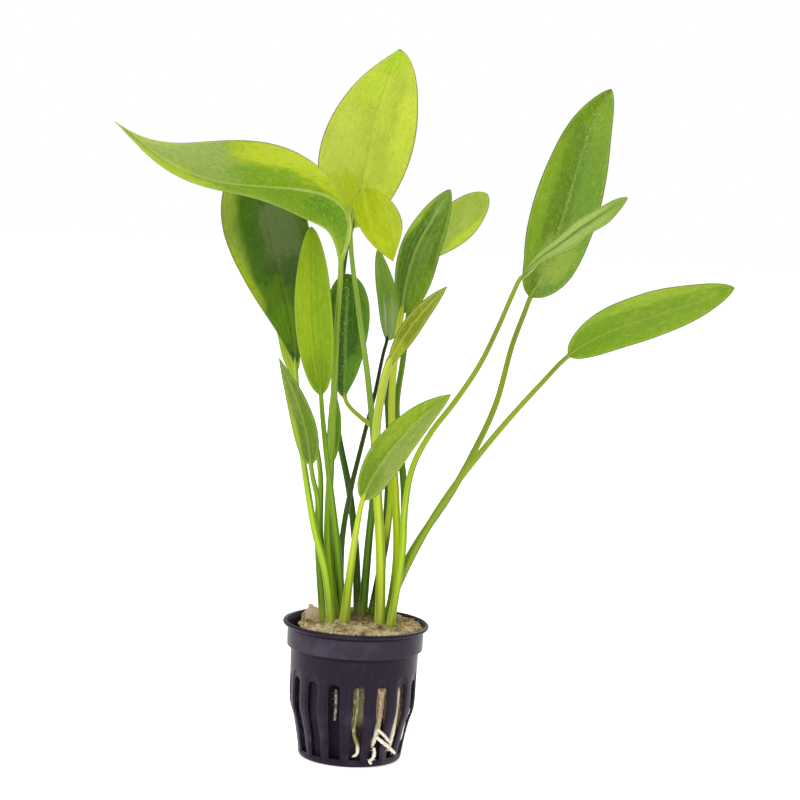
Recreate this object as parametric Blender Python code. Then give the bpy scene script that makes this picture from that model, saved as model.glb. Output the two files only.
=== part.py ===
"""Echinodorus, an amazon sword plant, in a slotted net pot filled with mineral wool.

Metres, +Z up. The origin is the centre of the pot's underside and -Y is the plant's front.
Each leaf is a stalk and a blade on one curve that rises from the wool. Roots show in the slots.
"""
import math

import bmesh
import bpy
import numpy as np
from mathutils import Matrix, Vector

MM = 0.001
GAP = 0.3                       # clearance between touching pieces, mm

# Net pot, mm
RIM_RADIUS = 27.5
RIM_ROUND = 0.5                 # how far the lip's corners are cut back
LIP_HEIGHT = 1.6
POT_HEIGHT = 51.7
COLLAR_RADIUS = 25.7
COLLAR_DRAFT = 0.1              # the collar narrows by this much from lip to step
COLLAR_BOTTOM = 42.0
STEP_HEIGHT = 0.5               # height of the step from the collar in to the side
INNER_STEP = 0.7                # the same step inside the wall, half its height
BODY_TOP_RADIUS = 24.1
SHOULDER = (23.5, 20.0)         # radius and height where the side starts to draw in
SIDE_CURVE = [(22.0, 15.0), (20.7, 9.0)]
FOOT_EDGE = [(19.5, 1.8), (19.2, 0.5), (18.5, 0.0)]
WALL = 1.0
FLOOR = 1.2
FLOOR_EDGE = [(18.2, FLOOR), (18.6, 2.4)]
POT_SHARP = 25                  # degrees between faces above which an edge is shaded sharp
POT_SIDES = 40
SLOTS = 16
SLOT_WIDTH = 4.4
SLOT_BOTTOM = 2.8
SLOT_TOP = 32.0
SLOT_DEPTH = (14.0, 28.0)       # radii between which a slot cuts the wall
SLOT_ARCH_POINTS = 7
FIRST_SLOT = 6.6                # degrees from the front, towards +X

# Mineral wool plug, mm
WOOL_RADIUS = 24.0
# The side's radius behind the roots, its radius elsewhere, and the height
WOOL_SIDE = [(15.8, 15.8, FLOOR + GAP), (16.4, 17.0, 5.0), (17.6, 19.0, 11.0), (19.4, 21.6, 19.0),
             (19.4, 21.9, 33.0), (22.2, 22.2, 37.0), (22.6, 22.6, 43.6)]
BEHIND_ROOTS = (29.5, 50, 66)   # degrees from the front, then how far round it keeps back, and is full
WOOL_LEAN = 0.2                 # how far the torn side at the left leans in, for each mm of height
WOOL_COLLAR_Z = 46.0            # where the wool has spread to fill the collar
WOOL_RIM_Z = 51.2
WOOL_RISE = 1.6
WOOL_EDGE_DROP = 1.0            # the top's outer edge is lower by this much
WOOL_NOTCH = (4.6, 34)          # how far it stands back from the rim at the left, over what degrees
WOOL_LUMPS = (0.35, 0.42, 0.37) # their height, and radians a mm along x and y
WOOL_TUFT = (-17.0, 4.0)        # x and y of the tuft standing at the left
TUFT_HEIGHT = 4.2
TUFT_SPREAD = 14.0              # mm squared
WOOL_SIDES = 24

# Leaves
FRONT_BACK = np.array((0.0, 1.0, 0.0))
BLADE_THICKNESS = 0.8           # mm, at the midrib
BLADE_EDGE = 0.25               # mm, near the margin
BLADE_THINS = (0.7, 0.4)        # where along it the blade starts to thin, and its share at the tip
LEAST_HALF_WIDTH = (0.5, 0.25)  # mm, at the middle and tip of any blade
STALK_LIP = 0.2                 # mm that a blade's base is wider than its stalk on either side
STALK_END_GAP = 0.45            # mm between a stalk's end and its blade
BLADE_STATIONS = 11
STALK_STATIONS = 12
STALK_SIDES = 6
ROOT_STATIONS = 9
CURVE_STEPS = 24                # steps between two given points of a curve

# The stalk's points start at the wool (x, y) and go on as (x, y, z), all in mm, up to the blade.
# The blade's points follow its midrib to the tip. Half widths are the blade's left and right
# sides, seen from its front with the tip up. Shape holds how slowly the left and right sides fill
# out from the base, and then from the tip. Turn is the blade's twist about its midrib, at even
# stations from base to tip, and fold is how far both halves rise from flat, in degrees. Where a
# leaf bends sharply, ease is the length in mm over which its margins cut the corner. The stalk's
# widths are at the wool and at the blade.
LEAVES = {
    "leaf_top": dict(
        stalk=[(0.5, 12), (-2, 16, 78), (-5.5, 20, 98.5), (-11, 22, 121), (-13, 23, 136),
               (-12.5, 26, 170.5), (-11, 28, 191.5)],
        blade=[(-9.5, 29, 198), (-7, 30, 212.5), (-4.5, 32, 227.5), (-1, 36, 247), (5, 42, 266.5)],
        half_width=(18.5, 16.5), shape=(0.6, 0.6, 1.0, 0.6), turn=(0, -4, -8), fold=6,
        stalk_width=(3.0, 1.5)),
    "leaf_arching_left": dict(
        stalk=[(-7.6, -2.2), (-12, 0, 80), (-12.5, -1, 109), (-12.5, -5, 135.5), (-12.5, -10, 164.5),
               (-12, -13, 183)],
        blade=[(-12, -14, 187.5), (-10, -16, 196), (-9.5, -18, 202.5), (-12, -19, 208),
               (-17.5, -20, 211.5), (-28, -22, 213.5), (-41.5, -25, 214), (-56.5, -28, 215),
               (-73.5, -31, 220.5), (-94.5, -34, 235)],
        half_width=(15.5, 22), shape=(1.0, 3.2, 1.3, 3.0), turn=(5, 12, 62, 46, 40), fold=22, ease=9,
        stalk_width=(3.5, 1.8)),
    "leaf_nodding": dict(
        stalk=[(2, 8), (3, 8, 79), (4, 6, 108.5), (0.5, 1, 139), (-5, -3, 170), (-8.5, -4.5, 190),
               (-9.5, -4.5, 202), (-9, -5, 208)],
        blade=[(-7.5, -6, 213), (-6, -7.5, 215.5), (-4.5, -10.5, 210), (-2, -12.5, 202),
               (2, -14.5, 194), (7, -16, 189)],
        half_width=(12, 6), shape=(0.8, 0.5, 0.6, 1.3), turn=(-15, -10, 0), fold=8, ease=4,
        stalk_width=(3.2, 1.4)),
    "leaf_broad_dark": dict(
        stalk=[(-9, -5.6), (-12.5, -6.5, 72), (-17, -8.5, 87), (-21.5, -8, 107.5), (-25, -7, 126),
               (-26.5, -6, 142)],
        blade=[(-27, -6, 147), (-30, -5, 164.5), (-35, -3, 183), (-41, 0, 202.5), (-46.5, 4, 226.5)],
        half_width=(16.5, 15), shape=(1.2, 1.0, 0.6, 0.6), turn=(6, 0, -6), fold=8, stalk_width=(3.2, 1.6)),
    "leaf_small_left": dict(
        stalk=[(-10.2, 1.2), (-15, 3, 81.5), (-16.5, 3.5, 108), (-21, 2, 126.5), (-26.5, 1.5, 138)],
        blade=[(-28, 2.5, 143.5), (-29.5, 5, 149.5), (-31.5, 9, 157), (-36.5, 13, 167.5)],
        half_width=(3.4, 4.2), shape=(0.6, 0.5, 0.7, 0.7), turn=(0, 0, 0), fold=10, stalk_width=(2.7, 1.4)),
    "leaf_bright_upright": dict(
        stalk=[(-5.6, 1.2), (-6.5, 1, 63), (-8.5, -1.5, 80), (-11, -4.5, 96.5), (-14, -9, 115.5),
               (-16.5, -12, 133.5)],
        blade=[(-17, -13, 138.5), (-19.5, -15, 155), (-21.5, -16, 171.5), (-22.5, -15, 187),
               (-23.5, -13, 200)],
        half_width=(6.8, 7.2), shape=(0.5, 0.5, 0.6, 0.6), turn=(6, 0, -6), fold=8, stalk_width=(3.2, 1.6)),
    "leaf_dark_oval": dict(
        stalk=[(5.2, 11), (8, 11, 69.5), (10, 10, 85.5), (10, 9.5, 105), (4, 10, 122.5), (-2.5, 9.5, 128),
               (-6.5, 9, 131.5)],
        blade=[(-8.5, 8, 135), (-9, 8, 146.5), (-9.5, 7.5, 158.5), (-9.5, 7, 170.5), (-10, 7, 182)],
        half_width=(8.6, 9.0), shape=(0.7, 0.9, 0.5, 0.5), turn=(0, 0, 0), fold=12, stalk_width=(3.2, 1.5)),
    "leaf_low_left": dict(
        stalk=[(-11.8, -2.4), (-15, -2.5, 74.5), (-16, -4, 86.5), (-16.5, -8, 98.5), (-18.5, -12, 107)],
        blade=[(-19.5, -14, 112.5), (-21.5, -18, 124), (-25.5, -23, 137), (-32.5, -27, 153)],
        half_width=(4.6, 4.6), shape=(0.5, 0.5, 1.0, 1.0), turn=(0, 0, 0), fold=12, stalk_width=(3.4, 1.6)),
    "leaf_front": dict(
        stalk=[(-4.6, -6), (-3.6, -8, 65), (-2.5, -14, 79), (-1, -22, 93)],
        blade=[(0.5, -27, 102.5), (5, -34, 114), (12, -42, 126), (20, -49, 136.5), (30, -55, 146)],
        half_width=(6.6, 7.2), shape=(0.55, 0.5, 0.75, 0.75), turn=(-15, -15, -15), fold=14,
        stalk_width=(3.5, 1.8)),
    "leaf_yellow_right": dict(
        stalk=[(9, -4.6), (8, -5, 76.5), (5.5, -8, 103.5), (4, -12, 126), (5.5, -17, 142.5)],
        blade=[(7.5, -20, 152), (12, -23, 161.5), (18, -26, 171), (27, -30, 182)],
        half_width=(3.4, 4), shape=(0.8, 0.6, 0.8, 0.9), turn=(-10, -10, -10), fold=14,
        stalk_width=(3.7, 3.0)),
    "leaf_narrow_dark": dict(
        stalk=[(-6, 8.2), (-7, 9.5, 80.5), (-4.5, 12, 101), (-2.5, 14, 111.5), (0, 17, 124),
               (2.5, 20.5, 136), (4, 23.5, 145.5), (5, 25, 151.5)],
        blade=[(6, 26, 156), (6, 27.5, 162), (5.5, 29, 170), (3.5, 32, 180.5), (1, 35, 190.5)],
        half_width=(3.8, 4.6), shape=(0.6, 0.35, 0.6, 0.9), turn=(0, 0, 0), fold=10,
        stalk_width=(2.5, 1.2)),
    "leaf_right_inner": dict(
        stalk=[(12, 1.4), (14, 1, 75.5), (12.5, 4, 98), (10, 7, 120.5), (9, 9, 138.5),
               (10, 11, 159.5)],
        blade=[(11, 12, 168), (12.5, 13, 180.5), (15.5, 14, 192.5), (20.5, 15, 203), (27, 17, 215)],
        half_width=(6.2, 9.6), shape=(0.75, 0.45, 0.7, 0.75), turn=(0, 0, 0), fold=10,
        stalk_width=(3.3, 2.2)),
    "leaf_right_behind": dict(
        stalk=[(11.5, 8.4), (15, 9, 74), (16, 12, 91), (15, 15, 104), (12.5, 18, 119), (11, 21, 132),
               (12.5, 24, 149), (13.5, 27, 164), (15, 29.5, 175)],
        blade=[(19.5, 32, 187.5), (24.5, 36, 194.5), (32.5, 42, 202), (42, 48, 212.5)],
        half_width=(8.8, 6.8), shape=(0.45, 0.6, 0.55, 0.6), turn=(0, 0, 0), fold=8, stalk_width=(3.1, 1.8)),
    "leaf_tall_right": dict(
        stalk=[(12.4, 5), (13.6, 4.8, 62), (16.3, 4.5, 71), (22.5, 6, 83.5), (33, 9, 100.5),
               (41, 12, 116.5), (48.5, 15, 135), (53.5, 17, 157.5), (57.5, 18, 170)],
        blade=[(59.5, 19, 176), (65.5, 20, 188.5), (69, 21, 202.5), (74, 24, 222.5), (78.5, 27, 239),
               (86, 30, 255.5)],
        half_width=(12.6, 12.8), shape=(0.5, 0.5, 0.7, 0.7), turn=(0, 0, 0), fold=8,
        stalk_width=(3.3, 1.7)),
    "leaf_edgewise_right": dict(
        stalk=[(12.6, -6.4), (16, -7, 81), (16, -7.5, 95.5), (18, -8, 112), (24, -8.5, 125.5),
               (32.5, -9, 138), (40.5, -9.5, 151.5), (46.5, -10, 165.5), (51.5, -10.5, 179)],
        blade=[(54, -11, 185), (60.5, -12, 192.5), (68.5, -14, 199), (76, -16, 205.5), (83, -19, 211),
               (90.5, -22, 217)],
        half_width=(7.5, 10), shape=(1.0, 1.1, 0.7, 0.6), turn=(-70, -70, -70), fold=2,
        stalk_width=(2.9, 1.5)),
    "leaf_far_right": dict(
        stalk=[(12.4, -2.4), (13.6, -2.8, 62), (16.3, -3.4, 70.5), (26, -6, 92), (35.5, -10, 109),
               (42.5, -13, 119.5), (52, -17, 133), (63, -22, 147.5)],
        blade=[(72.5, -26, 159), (85, -30, 168), (100, -35, 175), (115.5, -40, 181.5),
               (128.5, -44, 188)],
        half_width=(9.2, 8), shape=(0.55, 0.5, 0.65, 0.65), turn=(-14, -14, -14), fold=14,
        stalk_width=(3.2, 1.6)),
    "leaf_short_middle": dict(
        stalk=[(-8, 4.8), (-11, 6, 81), (-12.5, 5, 100.5)],
        blade=[(-13, 4, 109), (-12, 3.5, 119.5), (-12, 2.5, 129), (-13, 1.5, 138.5)],
        half_width=(2.6, 2.8), shape=(0.5, 0.5, 0.6, 0.6), turn=(0, 0, 0), fold=10, stalk_width=(2.7, 1.5)),
    "leaf_young_spear": dict(
        stalk=[(8.5, 14.5), (9, 15, 80.5), (9, 15, 103.5), (8, 14, 125)],
        blade=[(7.5, 14, 130.5), (7.5, 14, 137.5), (8.5, 15, 146), (11, 15, 153.5)],
        half_width=(1.5, 1.5), shape=(0.4, 0.4, 0.6, 0.6), turn=(0, 0, 0), fold=10, stalk_width=(2.6, 1.6)),
}

# Roots as (degrees from the front, radius, height), then their thickness at top and tip, in mm
ROOTS = {
    "root_front": ([(6, 21.2, 31), (6, 21.2, 22), (4, 20.6, 14), (9, 20, 8.5), (9, 19.2, 5.4),
                    (4, 18.4, 4)], (1.9, 1.2)),
    "root_thick": ([(31, 21, 31), (30.5, 21, 25), (30, 20.9, 18), (28, 20.2, 12),
                    (26.5, 18.3, 7.5)], (2.5, 1.7)),
    "root_across_upper": ([(26.5, 22.8, 15.6), (31, 23, 14), (36, 22.5, 12.4), (40, 22.2, 10.8),
                           (44.5, 21.9, 9.6)], (1.3, 1.1)),
    "root_across_lower": ([(26, 22.5, 12.6), (32, 22.4, 10.8), (40, 21.9, 8.6), (48, 21.4, 6.4),
                           (55, 21, 4.6)], (1.5, 1.3)),
    "root_curl": ([(27, 20.3, 8), (27, 21, 5.6), (25, 21, 3.8), (22, 20.9, 3), (24.5, 21, 1.9)],
                  (1.4, 1.1)),
    "root_right": ([(52.5, 21, 30), (51, 21, 22), (51.5, 20.4, 15), (49.5, 20, 9.5),
                    (49.5, 19, 5.5)], (2.5, 1.5)),
    "root_far_right": ([(74, 21, 30), (75, 21, 22), (73, 20.3, 14), (75, 19.4, 8)], (2.5, 1.5)),
    "root_left": ([(-16, 21.2, 30), (-15, 21.2, 24), (-16, 21, 18)], (1.6, 1.1)),
}

# Each finish is a colour and a roughness
LEAF_GREEN = (0.22, 0.42, 0.04), 0.4
STALK_GREEN = (0.33, 0.50, 0.07), 0.4
ROOT_CREAM = (0.78, 0.70, 0.50), 0.6
WOOL_TAN = (0.46, 0.37, 0.20), 0.95
POT_BLACK = (0.045, 0.036, 0.052), 0.35
CUTTER_RED = (1.0, 0.0, 0.0), 0.5


def clear_scene():
    for obj in list(bpy.data.objects):
        bpy.data.objects.remove(obj, do_unlink=True)


def material(name, colour, roughness):
    mat = bpy.data.materials.new(name)
    mat.use_nodes = True
    shader = mat.node_tree.nodes["Principled BSDF"]
    shader.inputs["Base Color"].default_value = (*colour, 1.0)
    shader.inputs["Roughness"].default_value = roughness
    shader.inputs["Metallic"].default_value = 0.0
    mat.diffuse_color = (*colour, 1.0)
    return mat


def add_object(name, bm, mat, sharp_degrees=40):
    """Turns a bmesh in mm into an object in metres, shaded smooth."""
    bmesh.ops.scale(bm, vec=(MM, MM, MM), verts=bm.verts)
    mesh = bpy.data.meshes.new(name)
    bm.to_mesh(mesh)
    bm.free()
    mesh.materials.append(mat)
    mesh.shade_smooth()
    mesh.set_sharp_from_angle(angle=math.radians(sharp_degrees))
    obj = bpy.data.objects.new(name, mesh)
    bpy.context.collection.objects.link(obj)
    return obj


def smooth_path(points):
    """A fine path on the smooth curve (centripetal Catmull-Rom) through the points."""
    points = np.array(points, float)
    ends = np.vstack([2 * points[0] - points[1], points, 2 * points[-1] - points[-2]])
    path = []
    for p0, p1, p2, p3 in zip(ends, ends[1:], ends[2:], ends[3:]):
        k0 = 0.0
        k1 = k0 + np.linalg.norm(p1 - p0) ** 0.5
        k2 = k1 + np.linalg.norm(p2 - p1) ** 0.5
        k3 = k2 + np.linalg.norm(p3 - p2) ** 0.5
        for k in np.linspace(k1, k2, CURVE_STEPS, endpoint=False):
            a1 = ((k1 - k) * p0 + (k - k0) * p1) / (k1 - k0)
            a2 = ((k2 - k) * p1 + (k - k1) * p2) / (k2 - k1)
            a3 = ((k3 - k) * p2 + (k - k2) * p3) / (k3 - k2)
            b1 = ((k2 - k) * a1 + (k - k0) * a2) / (k2 - k0)
            b2 = ((k3 - k) * a2 + (k - k1) * a3) / (k3 - k1)
            path.append(((k2 - k) * b1 + (k - k1) * b2) / (k2 - k1))
    return np.array(path + [points[-1]])


def lengths(path):
    return np.concatenate([[0.0], np.cumsum(np.linalg.norm(np.diff(path, axis=0), axis=1))])


def resample(path, start, end, count):
    """Points on the path from one fraction of its length to another, evenly spaced."""
    along = lengths(path)
    wanted = np.linspace(start, end, count) * along[-1]
    return np.stack([np.interp(wanted, along, path[:, axis]) for axis in range(3)], axis=1)


def unit(vectors):
    return vectors / np.linalg.norm(vectors, axis=1)[:, None]


def directions(points, turn=(0, 0, 0)):
    """Side and normal at each point, square to the curve and turned about it."""
    tangent = unit(np.gradient(points, axis=0))
    side = unit(np.cross(FRONT_BACK, tangent))
    depth = unit(FRONT_BACK - (tangent @ FRONT_BACK)[:, None] * tangent)
    along = np.linspace(0, 1, len(points))
    angle = np.radians(np.interp(along, np.linspace(0, 1, len(turn)), turn))[:, None]
    side = np.cos(angle) * side + np.sin(angle) * depth
    return side, np.cross(side, tangent)


def loft(name, rings, mat):
    """A closed solid through rings of points: the first ring is extruded to each of the others."""
    bm = bmesh.new()
    verts = [bm.verts.new(p) for p in rings[0]]
    edges = [bm.edges.new((a, b)) for a, b in zip(verts, verts[1:] + verts[:1])]
    bm.faces.new(verts)
    for ring in rings[1:]:
        new = bmesh.ops.extrude_edge_only(bm, edges=edges)["geom"]
        bm.verts.ensure_lookup_table()
        verts = bm.verts[-len(ring):]
        for vert, point in zip(verts, ring):
            vert.co = point
        edges = [e for e in new if isinstance(e, bmesh.types.BMEdge)
                 and e.verts[0] in verts and e.verts[1] in verts]
    bmesh.ops.contextual_create(bm, geom=edges)
    bmesh.ops.recalc_face_normals(bm, faces=bm.faces)
    return add_object(name, bm, mat)


def tube(name, points, widths, mat):
    """A tapered round bar along the points."""
    side, normal = directions(points)
    radii = np.linspace(widths[0], widths[1], len(points)) / 2
    turns = np.arange(STALK_SIDES) * 2 * math.pi / STALK_SIDES
    rings = [[p + r * (math.cos(a) * s + math.sin(a) * n) for a in turns]
             for p, r, s, n in zip(points, radii, side, normal)]
    return loft(name, rings, mat)


def side_width(along, half_width, fill, tip):
    """The blade's half width: it fills out from the base, is widest once and runs to a point."""
    widest = fill / (fill + tip)
    peak = widest ** fill * (1 - widest) ** tip
    return half_width * along ** fill * (1 - along) ** tip / peak


def eased(rings, across, spacing, ease):
    """Smooths the rings' outer points along the blade, so that they don't cross inside a bend."""
    rings = np.array(rings)
    share = 0.5 * np.abs(across)[:, None]
    for _ in range(round(2 * (ease / spacing) ** 2)):
        rings[1:-1] += share * ((rings[:-2] + rings[2:]) / 2 - rings[1:-1])
    return rings


def blade(name, points, leaf, mat):
    """A thin folded blade: each ring is a lens, three points wide on either face."""
    side, normal = directions(points, leaf["turn"])
    along = np.linspace(0, 1, len(points))
    fill_left, fill_right, tip_left, tip_right = leaf["shape"]
    base_width = leaf["stalk_width"][1] / 2 + STALK_LIP
    least = np.interp(along, (0, 0.5, 1), (base_width, *LEAST_HALF_WIDTH))
    left = np.maximum(side_width(along, leaf["half_width"][0], fill_left, tip_left), least)
    right = np.maximum(side_width(along, leaf["half_width"][1], fill_right, tip_right), least)
    rise, reach = math.sin(math.radians(leaf["fold"])), math.cos(math.radians(leaf["fold"]))
    thins_at, tip_share = BLADE_THINS
    thick = np.interp(along, (0, thins_at, 1), (1, 1, tip_share)) * BLADE_THICKNESS / 2
    edge = BLADE_EDGE / BLADE_THICKNESS
    across = [(-1, edge), (-0.5, 0.75), (0, 1), (0.5, 0.75), (1, edge)]
    section = [(u, h) for u, h in across] + [(u, -h) for u, h in reversed(across[1:-1])]
    rings = []
    for p, s, n, wl, wr, t in zip(points, side, normal, left, right, thick):
        ring = []
        for u, h in section:
            width = wl if u < 0 else wr
            lift = 0 if abs(u) == 1 else h * t
            ring.append(p + width * u * reach * s + (width * abs(u) * rise + lift) * n)
        rings.append(ring)
    spacing = lengths(points)[-1] / (len(points) - 1)
    rings = eased(rings, np.array([u for u, _ in section]), spacing, leaf.get("ease", 0))
    return loft(name, rings, mat)


def wool_height(x, y):
    """The wool's top surface: a low dome with shallow lumps and a tuft standing at the left."""
    radius = math.hypot(x, y)
    dome = WOOL_RISE * (1 - (radius / WOOL_RADIUS) ** 2)
    lump, wave_x, wave_y = WOOL_LUMPS
    lumps = lump * math.sin(wave_x * x + 1) * math.cos(wave_y * y - 0.5)
    apart = (x - WOOL_TUFT[0]) ** 2 + (y - WOOL_TUFT[1]) ** 2
    return WOOL_RIM_Z + dome + lumps + TUFT_HEIGHT * math.exp(-apart / TUFT_SPREAD)


def wool_edge(angle):
    """The wool's radius at its top, less on the left where it stands back from the rim."""
    away = math.degrees(abs(math.remainder(angle - math.pi, 2 * math.pi)))
    depth, spread = WOOL_NOTCH
    return WOOL_RADIUS - depth * math.exp(-(away / spread) ** 2)


def wool_side(angle, behind, elsewhere):
    """The wool's radius below the collar: it keeps back from the wall behind the roots."""
    middle, back, full = BEHIND_ROOTS
    away = abs(math.remainder(math.degrees(angle) + 90 - middle, 360))
    return float(np.interp(away, (back, full), (behind, elsewhere)))


def pot_profile():
    """Radius and height round the wall: down the outside, under the floor and up the inside."""
    lip_under = POT_HEIGHT - LIP_HEIGHT
    lip = [(RIM_RADIUS - RIM_ROUND, POT_HEIGHT), (RIM_RADIUS, POT_HEIGHT - RIM_ROUND),
           (RIM_RADIUS, lip_under + RIM_ROUND), (RIM_RADIUS - RIM_ROUND, lip_under)]
    collar = [(COLLAR_RADIUS, lip_under - COLLAR_DRAFT),
              (COLLAR_RADIUS - COLLAR_DRAFT, COLLAR_BOTTOM + STEP_HEIGHT)]
    side = [(BODY_TOP_RADIUS, COLLAR_BOTTOM), SHOULDER, *SIDE_CURVE]
    inner_side = [(radius - WALL, height) for radius, height in reversed(side[1:])]
    inner_collar = [(BODY_TOP_RADIUS - WALL, COLLAR_BOTTOM - INNER_STEP),
                    (COLLAR_RADIUS - WALL - 2 * COLLAR_DRAFT, COLLAR_BOTTOM + INNER_STEP),
                    (COLLAR_RADIUS - WALL, POT_HEIGHT - RIM_ROUND),
                    (COLLAR_RADIUS - WALL + RIM_ROUND, POT_HEIGHT)]
    under = [(0.0, 0.0), (0.0, FLOOR)]
    return lip + collar + side + FOOT_EDGE + under + FLOOR_EDGE + inner_side + inner_collar


def turned(profile, sides):
    """A closed bmesh of revolution about Z, from (radius, height) points round its section."""
    bm = bmesh.new()
    verts = [bm.verts.new((r, 0, z)) for r, z in profile]
    edges = [bm.edges.new(pair) for pair in zip(verts, verts[1:] + verts[:1])]
    bmesh.ops.spin(bm, geom=verts + edges, cent=(0, 0, 0), axis=(0, 0, 1), angle=2 * math.pi,
                   steps=sides, use_merge=True)
    bmesh.ops.remove_doubles(bm, verts=bm.verts, dist=0.01)
    bmesh.ops.recalc_face_normals(bm, faces=bm.faces)
    return bm


def slot_cutters():
    """One arched prism for each slot, standing radially across the wall."""
    bm = bmesh.new()
    half = SLOT_WIDTH / 2
    spring = SLOT_TOP - half
    arch = [(half * math.cos(angle), spring + half * math.sin(angle))
            for angle in np.linspace(0, math.pi, SLOT_ARCH_POINTS)]
    outline = [(-half, SLOT_BOTTOM), (half, SLOT_BOTTOM)] + arch
    near, far = SLOT_DEPTH
    for index in range(SLOTS):
        turn = Matrix.Rotation(math.radians(FIRST_SLOT + index * 360 / SLOTS), 3, "Z")
        face = bm.faces.new([bm.verts.new(turn @ Vector((x, -near, z))) for x, z in outline])
        push = bmesh.ops.extrude_face_region(bm, geom=[face])["geom"]
        moved = [v for v in push if isinstance(v, bmesh.types.BMVert)]
        bmesh.ops.translate(bm, vec=turn @ Vector((0, near - far, 0)), verts=moved)
    bmesh.ops.recalc_face_normals(bm, faces=bm.faces)
    cutter = add_object("slot_cutters", bm, material("cutter", *CUTTER_RED))
    cutter.hide_render = True
    cutter.display_type = "WIRE"
    return cutter


def make_pot():
    pot = add_object("pot", turned(pot_profile(), POT_SIDES),
                     material("pot_plastic", *POT_BLACK), POT_SHARP)
    cut = pot.modifiers.new("slots", "BOOLEAN")
    cut.operation = "DIFFERENCE"
    cut.solver = "EXACT"
    cut.object = slot_cutters()


def make_wool():
    """The plug: narrow behind the slots, wide in the collar, with a lumpy top and a standing tuft."""
    angles = [index * 2 * math.pi / WOOL_SIDES for index in range(WOOL_SIDES)]
    rings = []
    for behind, elsewhere, height in WOOL_SIDE:
        lean = WOOL_LEAN * (WOOL_RIM_Z - height)
        radii = [min(wool_side(a, behind, elsewhere), wool_edge(a) + lean) for a in angles]
        rings.append([(r * math.cos(a), r * math.sin(a), height) for r, a in zip(radii, angles)])
    edge = [(wool_edge(a) * math.cos(a), wool_edge(a) * math.sin(a)) for a in angles]
    rings.append([(x, y, WOOL_COLLAR_Z) for x, y in edge])
    rings.append([(x, y, wool_height(x, y) - WOOL_EDGE_DROP) for x, y in edge])
    for share in (0.93, 0.78, 0.6, 0.4, 0.2):
        inner = [(x * share, y * share) for x, y in edge]
        rings.append([(x, y, wool_height(x, y)) for x, y in inner])
    loft("rockwool_plug", rings, material("mineral_wool", *WOOL_TAN))


def make_leaf(name, leaf, blade_mat, stalk_mat):
    base_x, base_y = leaf["stalk"][0]
    reach = leaf["stalk_width"][0] / 2
    corners = [(base_x + dx, base_y + dy) for dx in (-reach, 0, reach) for dy in (-reach, 0, reach)]
    base_z = max(wool_height(x, y) for x, y in corners) + GAP
    stalk = [(base_x, base_y, base_z)] + leaf["stalk"][1:]
    path = smooth_path(stalk + leaf["blade"])
    start = np.argmin(np.linalg.norm(path - np.array(leaf["blade"][0], float), axis=1))
    stalk_path, blade_path = path[:start + 1], path[start:]
    end = 1 - STALK_END_GAP / lengths(stalk_path)[-1]
    tube(name + "_stalk", resample(stalk_path, 0, end, STALK_STATIONS), leaf["stalk_width"], stalk_mat)
    blade(name + "_blade", resample(blade_path, 0, 1, BLADE_STATIONS), leaf, blade_mat)


def make_roots():
    mat = material("root", *ROOT_CREAM)
    for name, (route, widths) in ROOTS.items():
        points = []
        for degrees, radius, height in route:
            angle = math.radians(degrees)
            points.append((radius * math.sin(angle), -radius * math.cos(angle), height))
        tube(name, resample(smooth_path(points), 0, 1, ROOT_STATIONS), widths, mat)


def make_plant():
    clear_scene()
    make_pot()
    make_wool()
    make_roots()
    blade_mat = material("leaf_blade", *LEAF_GREEN)
    stalk_mat = material("leaf_stalk", *STALK_GREEN)
    for name, leaf in LEAVES.items():
        make_leaf(name, leaf, blade_mat, stalk_mat)


make_plant()
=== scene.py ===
"""The looks of an echinodorus, an amazon sword plant, in a slotted net pot filled with mineral wool.

The pieces are worked out in millimetres and brought to metres as they are finished, +Z up, with
the plant's front towards -Y. The sections go from the pot through the wool and the roots to the
leaves, and then to the floor, the light and the camera.
"""
import math
import random

import bmesh
import bpy
import numpy as np
from mathutils import Matrix, Vector, noise


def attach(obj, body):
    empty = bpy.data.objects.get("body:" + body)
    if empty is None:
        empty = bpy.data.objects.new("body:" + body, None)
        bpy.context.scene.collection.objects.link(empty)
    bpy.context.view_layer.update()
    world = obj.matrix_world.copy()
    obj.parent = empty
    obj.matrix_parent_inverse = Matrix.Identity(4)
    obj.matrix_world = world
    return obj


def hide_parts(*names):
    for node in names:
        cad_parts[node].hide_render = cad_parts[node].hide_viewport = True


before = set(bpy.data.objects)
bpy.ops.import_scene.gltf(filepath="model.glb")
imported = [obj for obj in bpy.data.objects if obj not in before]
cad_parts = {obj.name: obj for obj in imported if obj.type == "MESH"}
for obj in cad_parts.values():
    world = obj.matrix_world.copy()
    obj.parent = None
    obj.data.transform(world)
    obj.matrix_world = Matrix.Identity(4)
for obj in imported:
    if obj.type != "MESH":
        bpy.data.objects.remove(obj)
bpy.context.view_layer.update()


# Net pot
# Black polypropylene, moulded in one shot with a satin skin: a rolled lip, a plain collar, a step
# and a side that draws in to the foot, with sixteen root slots that each lie in a shallow recess.
MM = 0.001                      # a millimetre in metres
POT_BLACK = (0.017, 0.009, 0.023, 1.0)
POT_SHEEN_AND_SCUFFS = (0.052, 0.038, 0.062, 1.0)    # the collar's skin, lighter partly as painted sheen, and the side's scuffs
POT_SHADOW = (0.003, 0.002, 0.004, 1.0)  # under the lip and the step
POT_DUST = (0.125, 0.108, 0.120, 1.0)
RIM_RADIUS = 27.5
POT_HEIGHT = 51.7
LIP_ROUND = 0.8
COLLAR_RADIUS = 25.7
COLLAR_BOTTOM = 42.0
STEP_ROUND = 0.5
SIDE = [(24.1, 0, 41.6), (23.85, 0, 31.0), (23.5, 0, 20.0), (22.0, 0, 15.0), (20.7, 0, 9.0),
        (19.5, 0, 1.8)]
FOOT_ROUND = 1.4
WALL = 1.0
FLOOR = 1.2
POT_SIDES = 144
SLOTS = 16
SLOT_HALF_WIDTH = 2.2
SLOT_BOTTOM = 2.8
SLOT_TOP = 32.0
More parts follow.
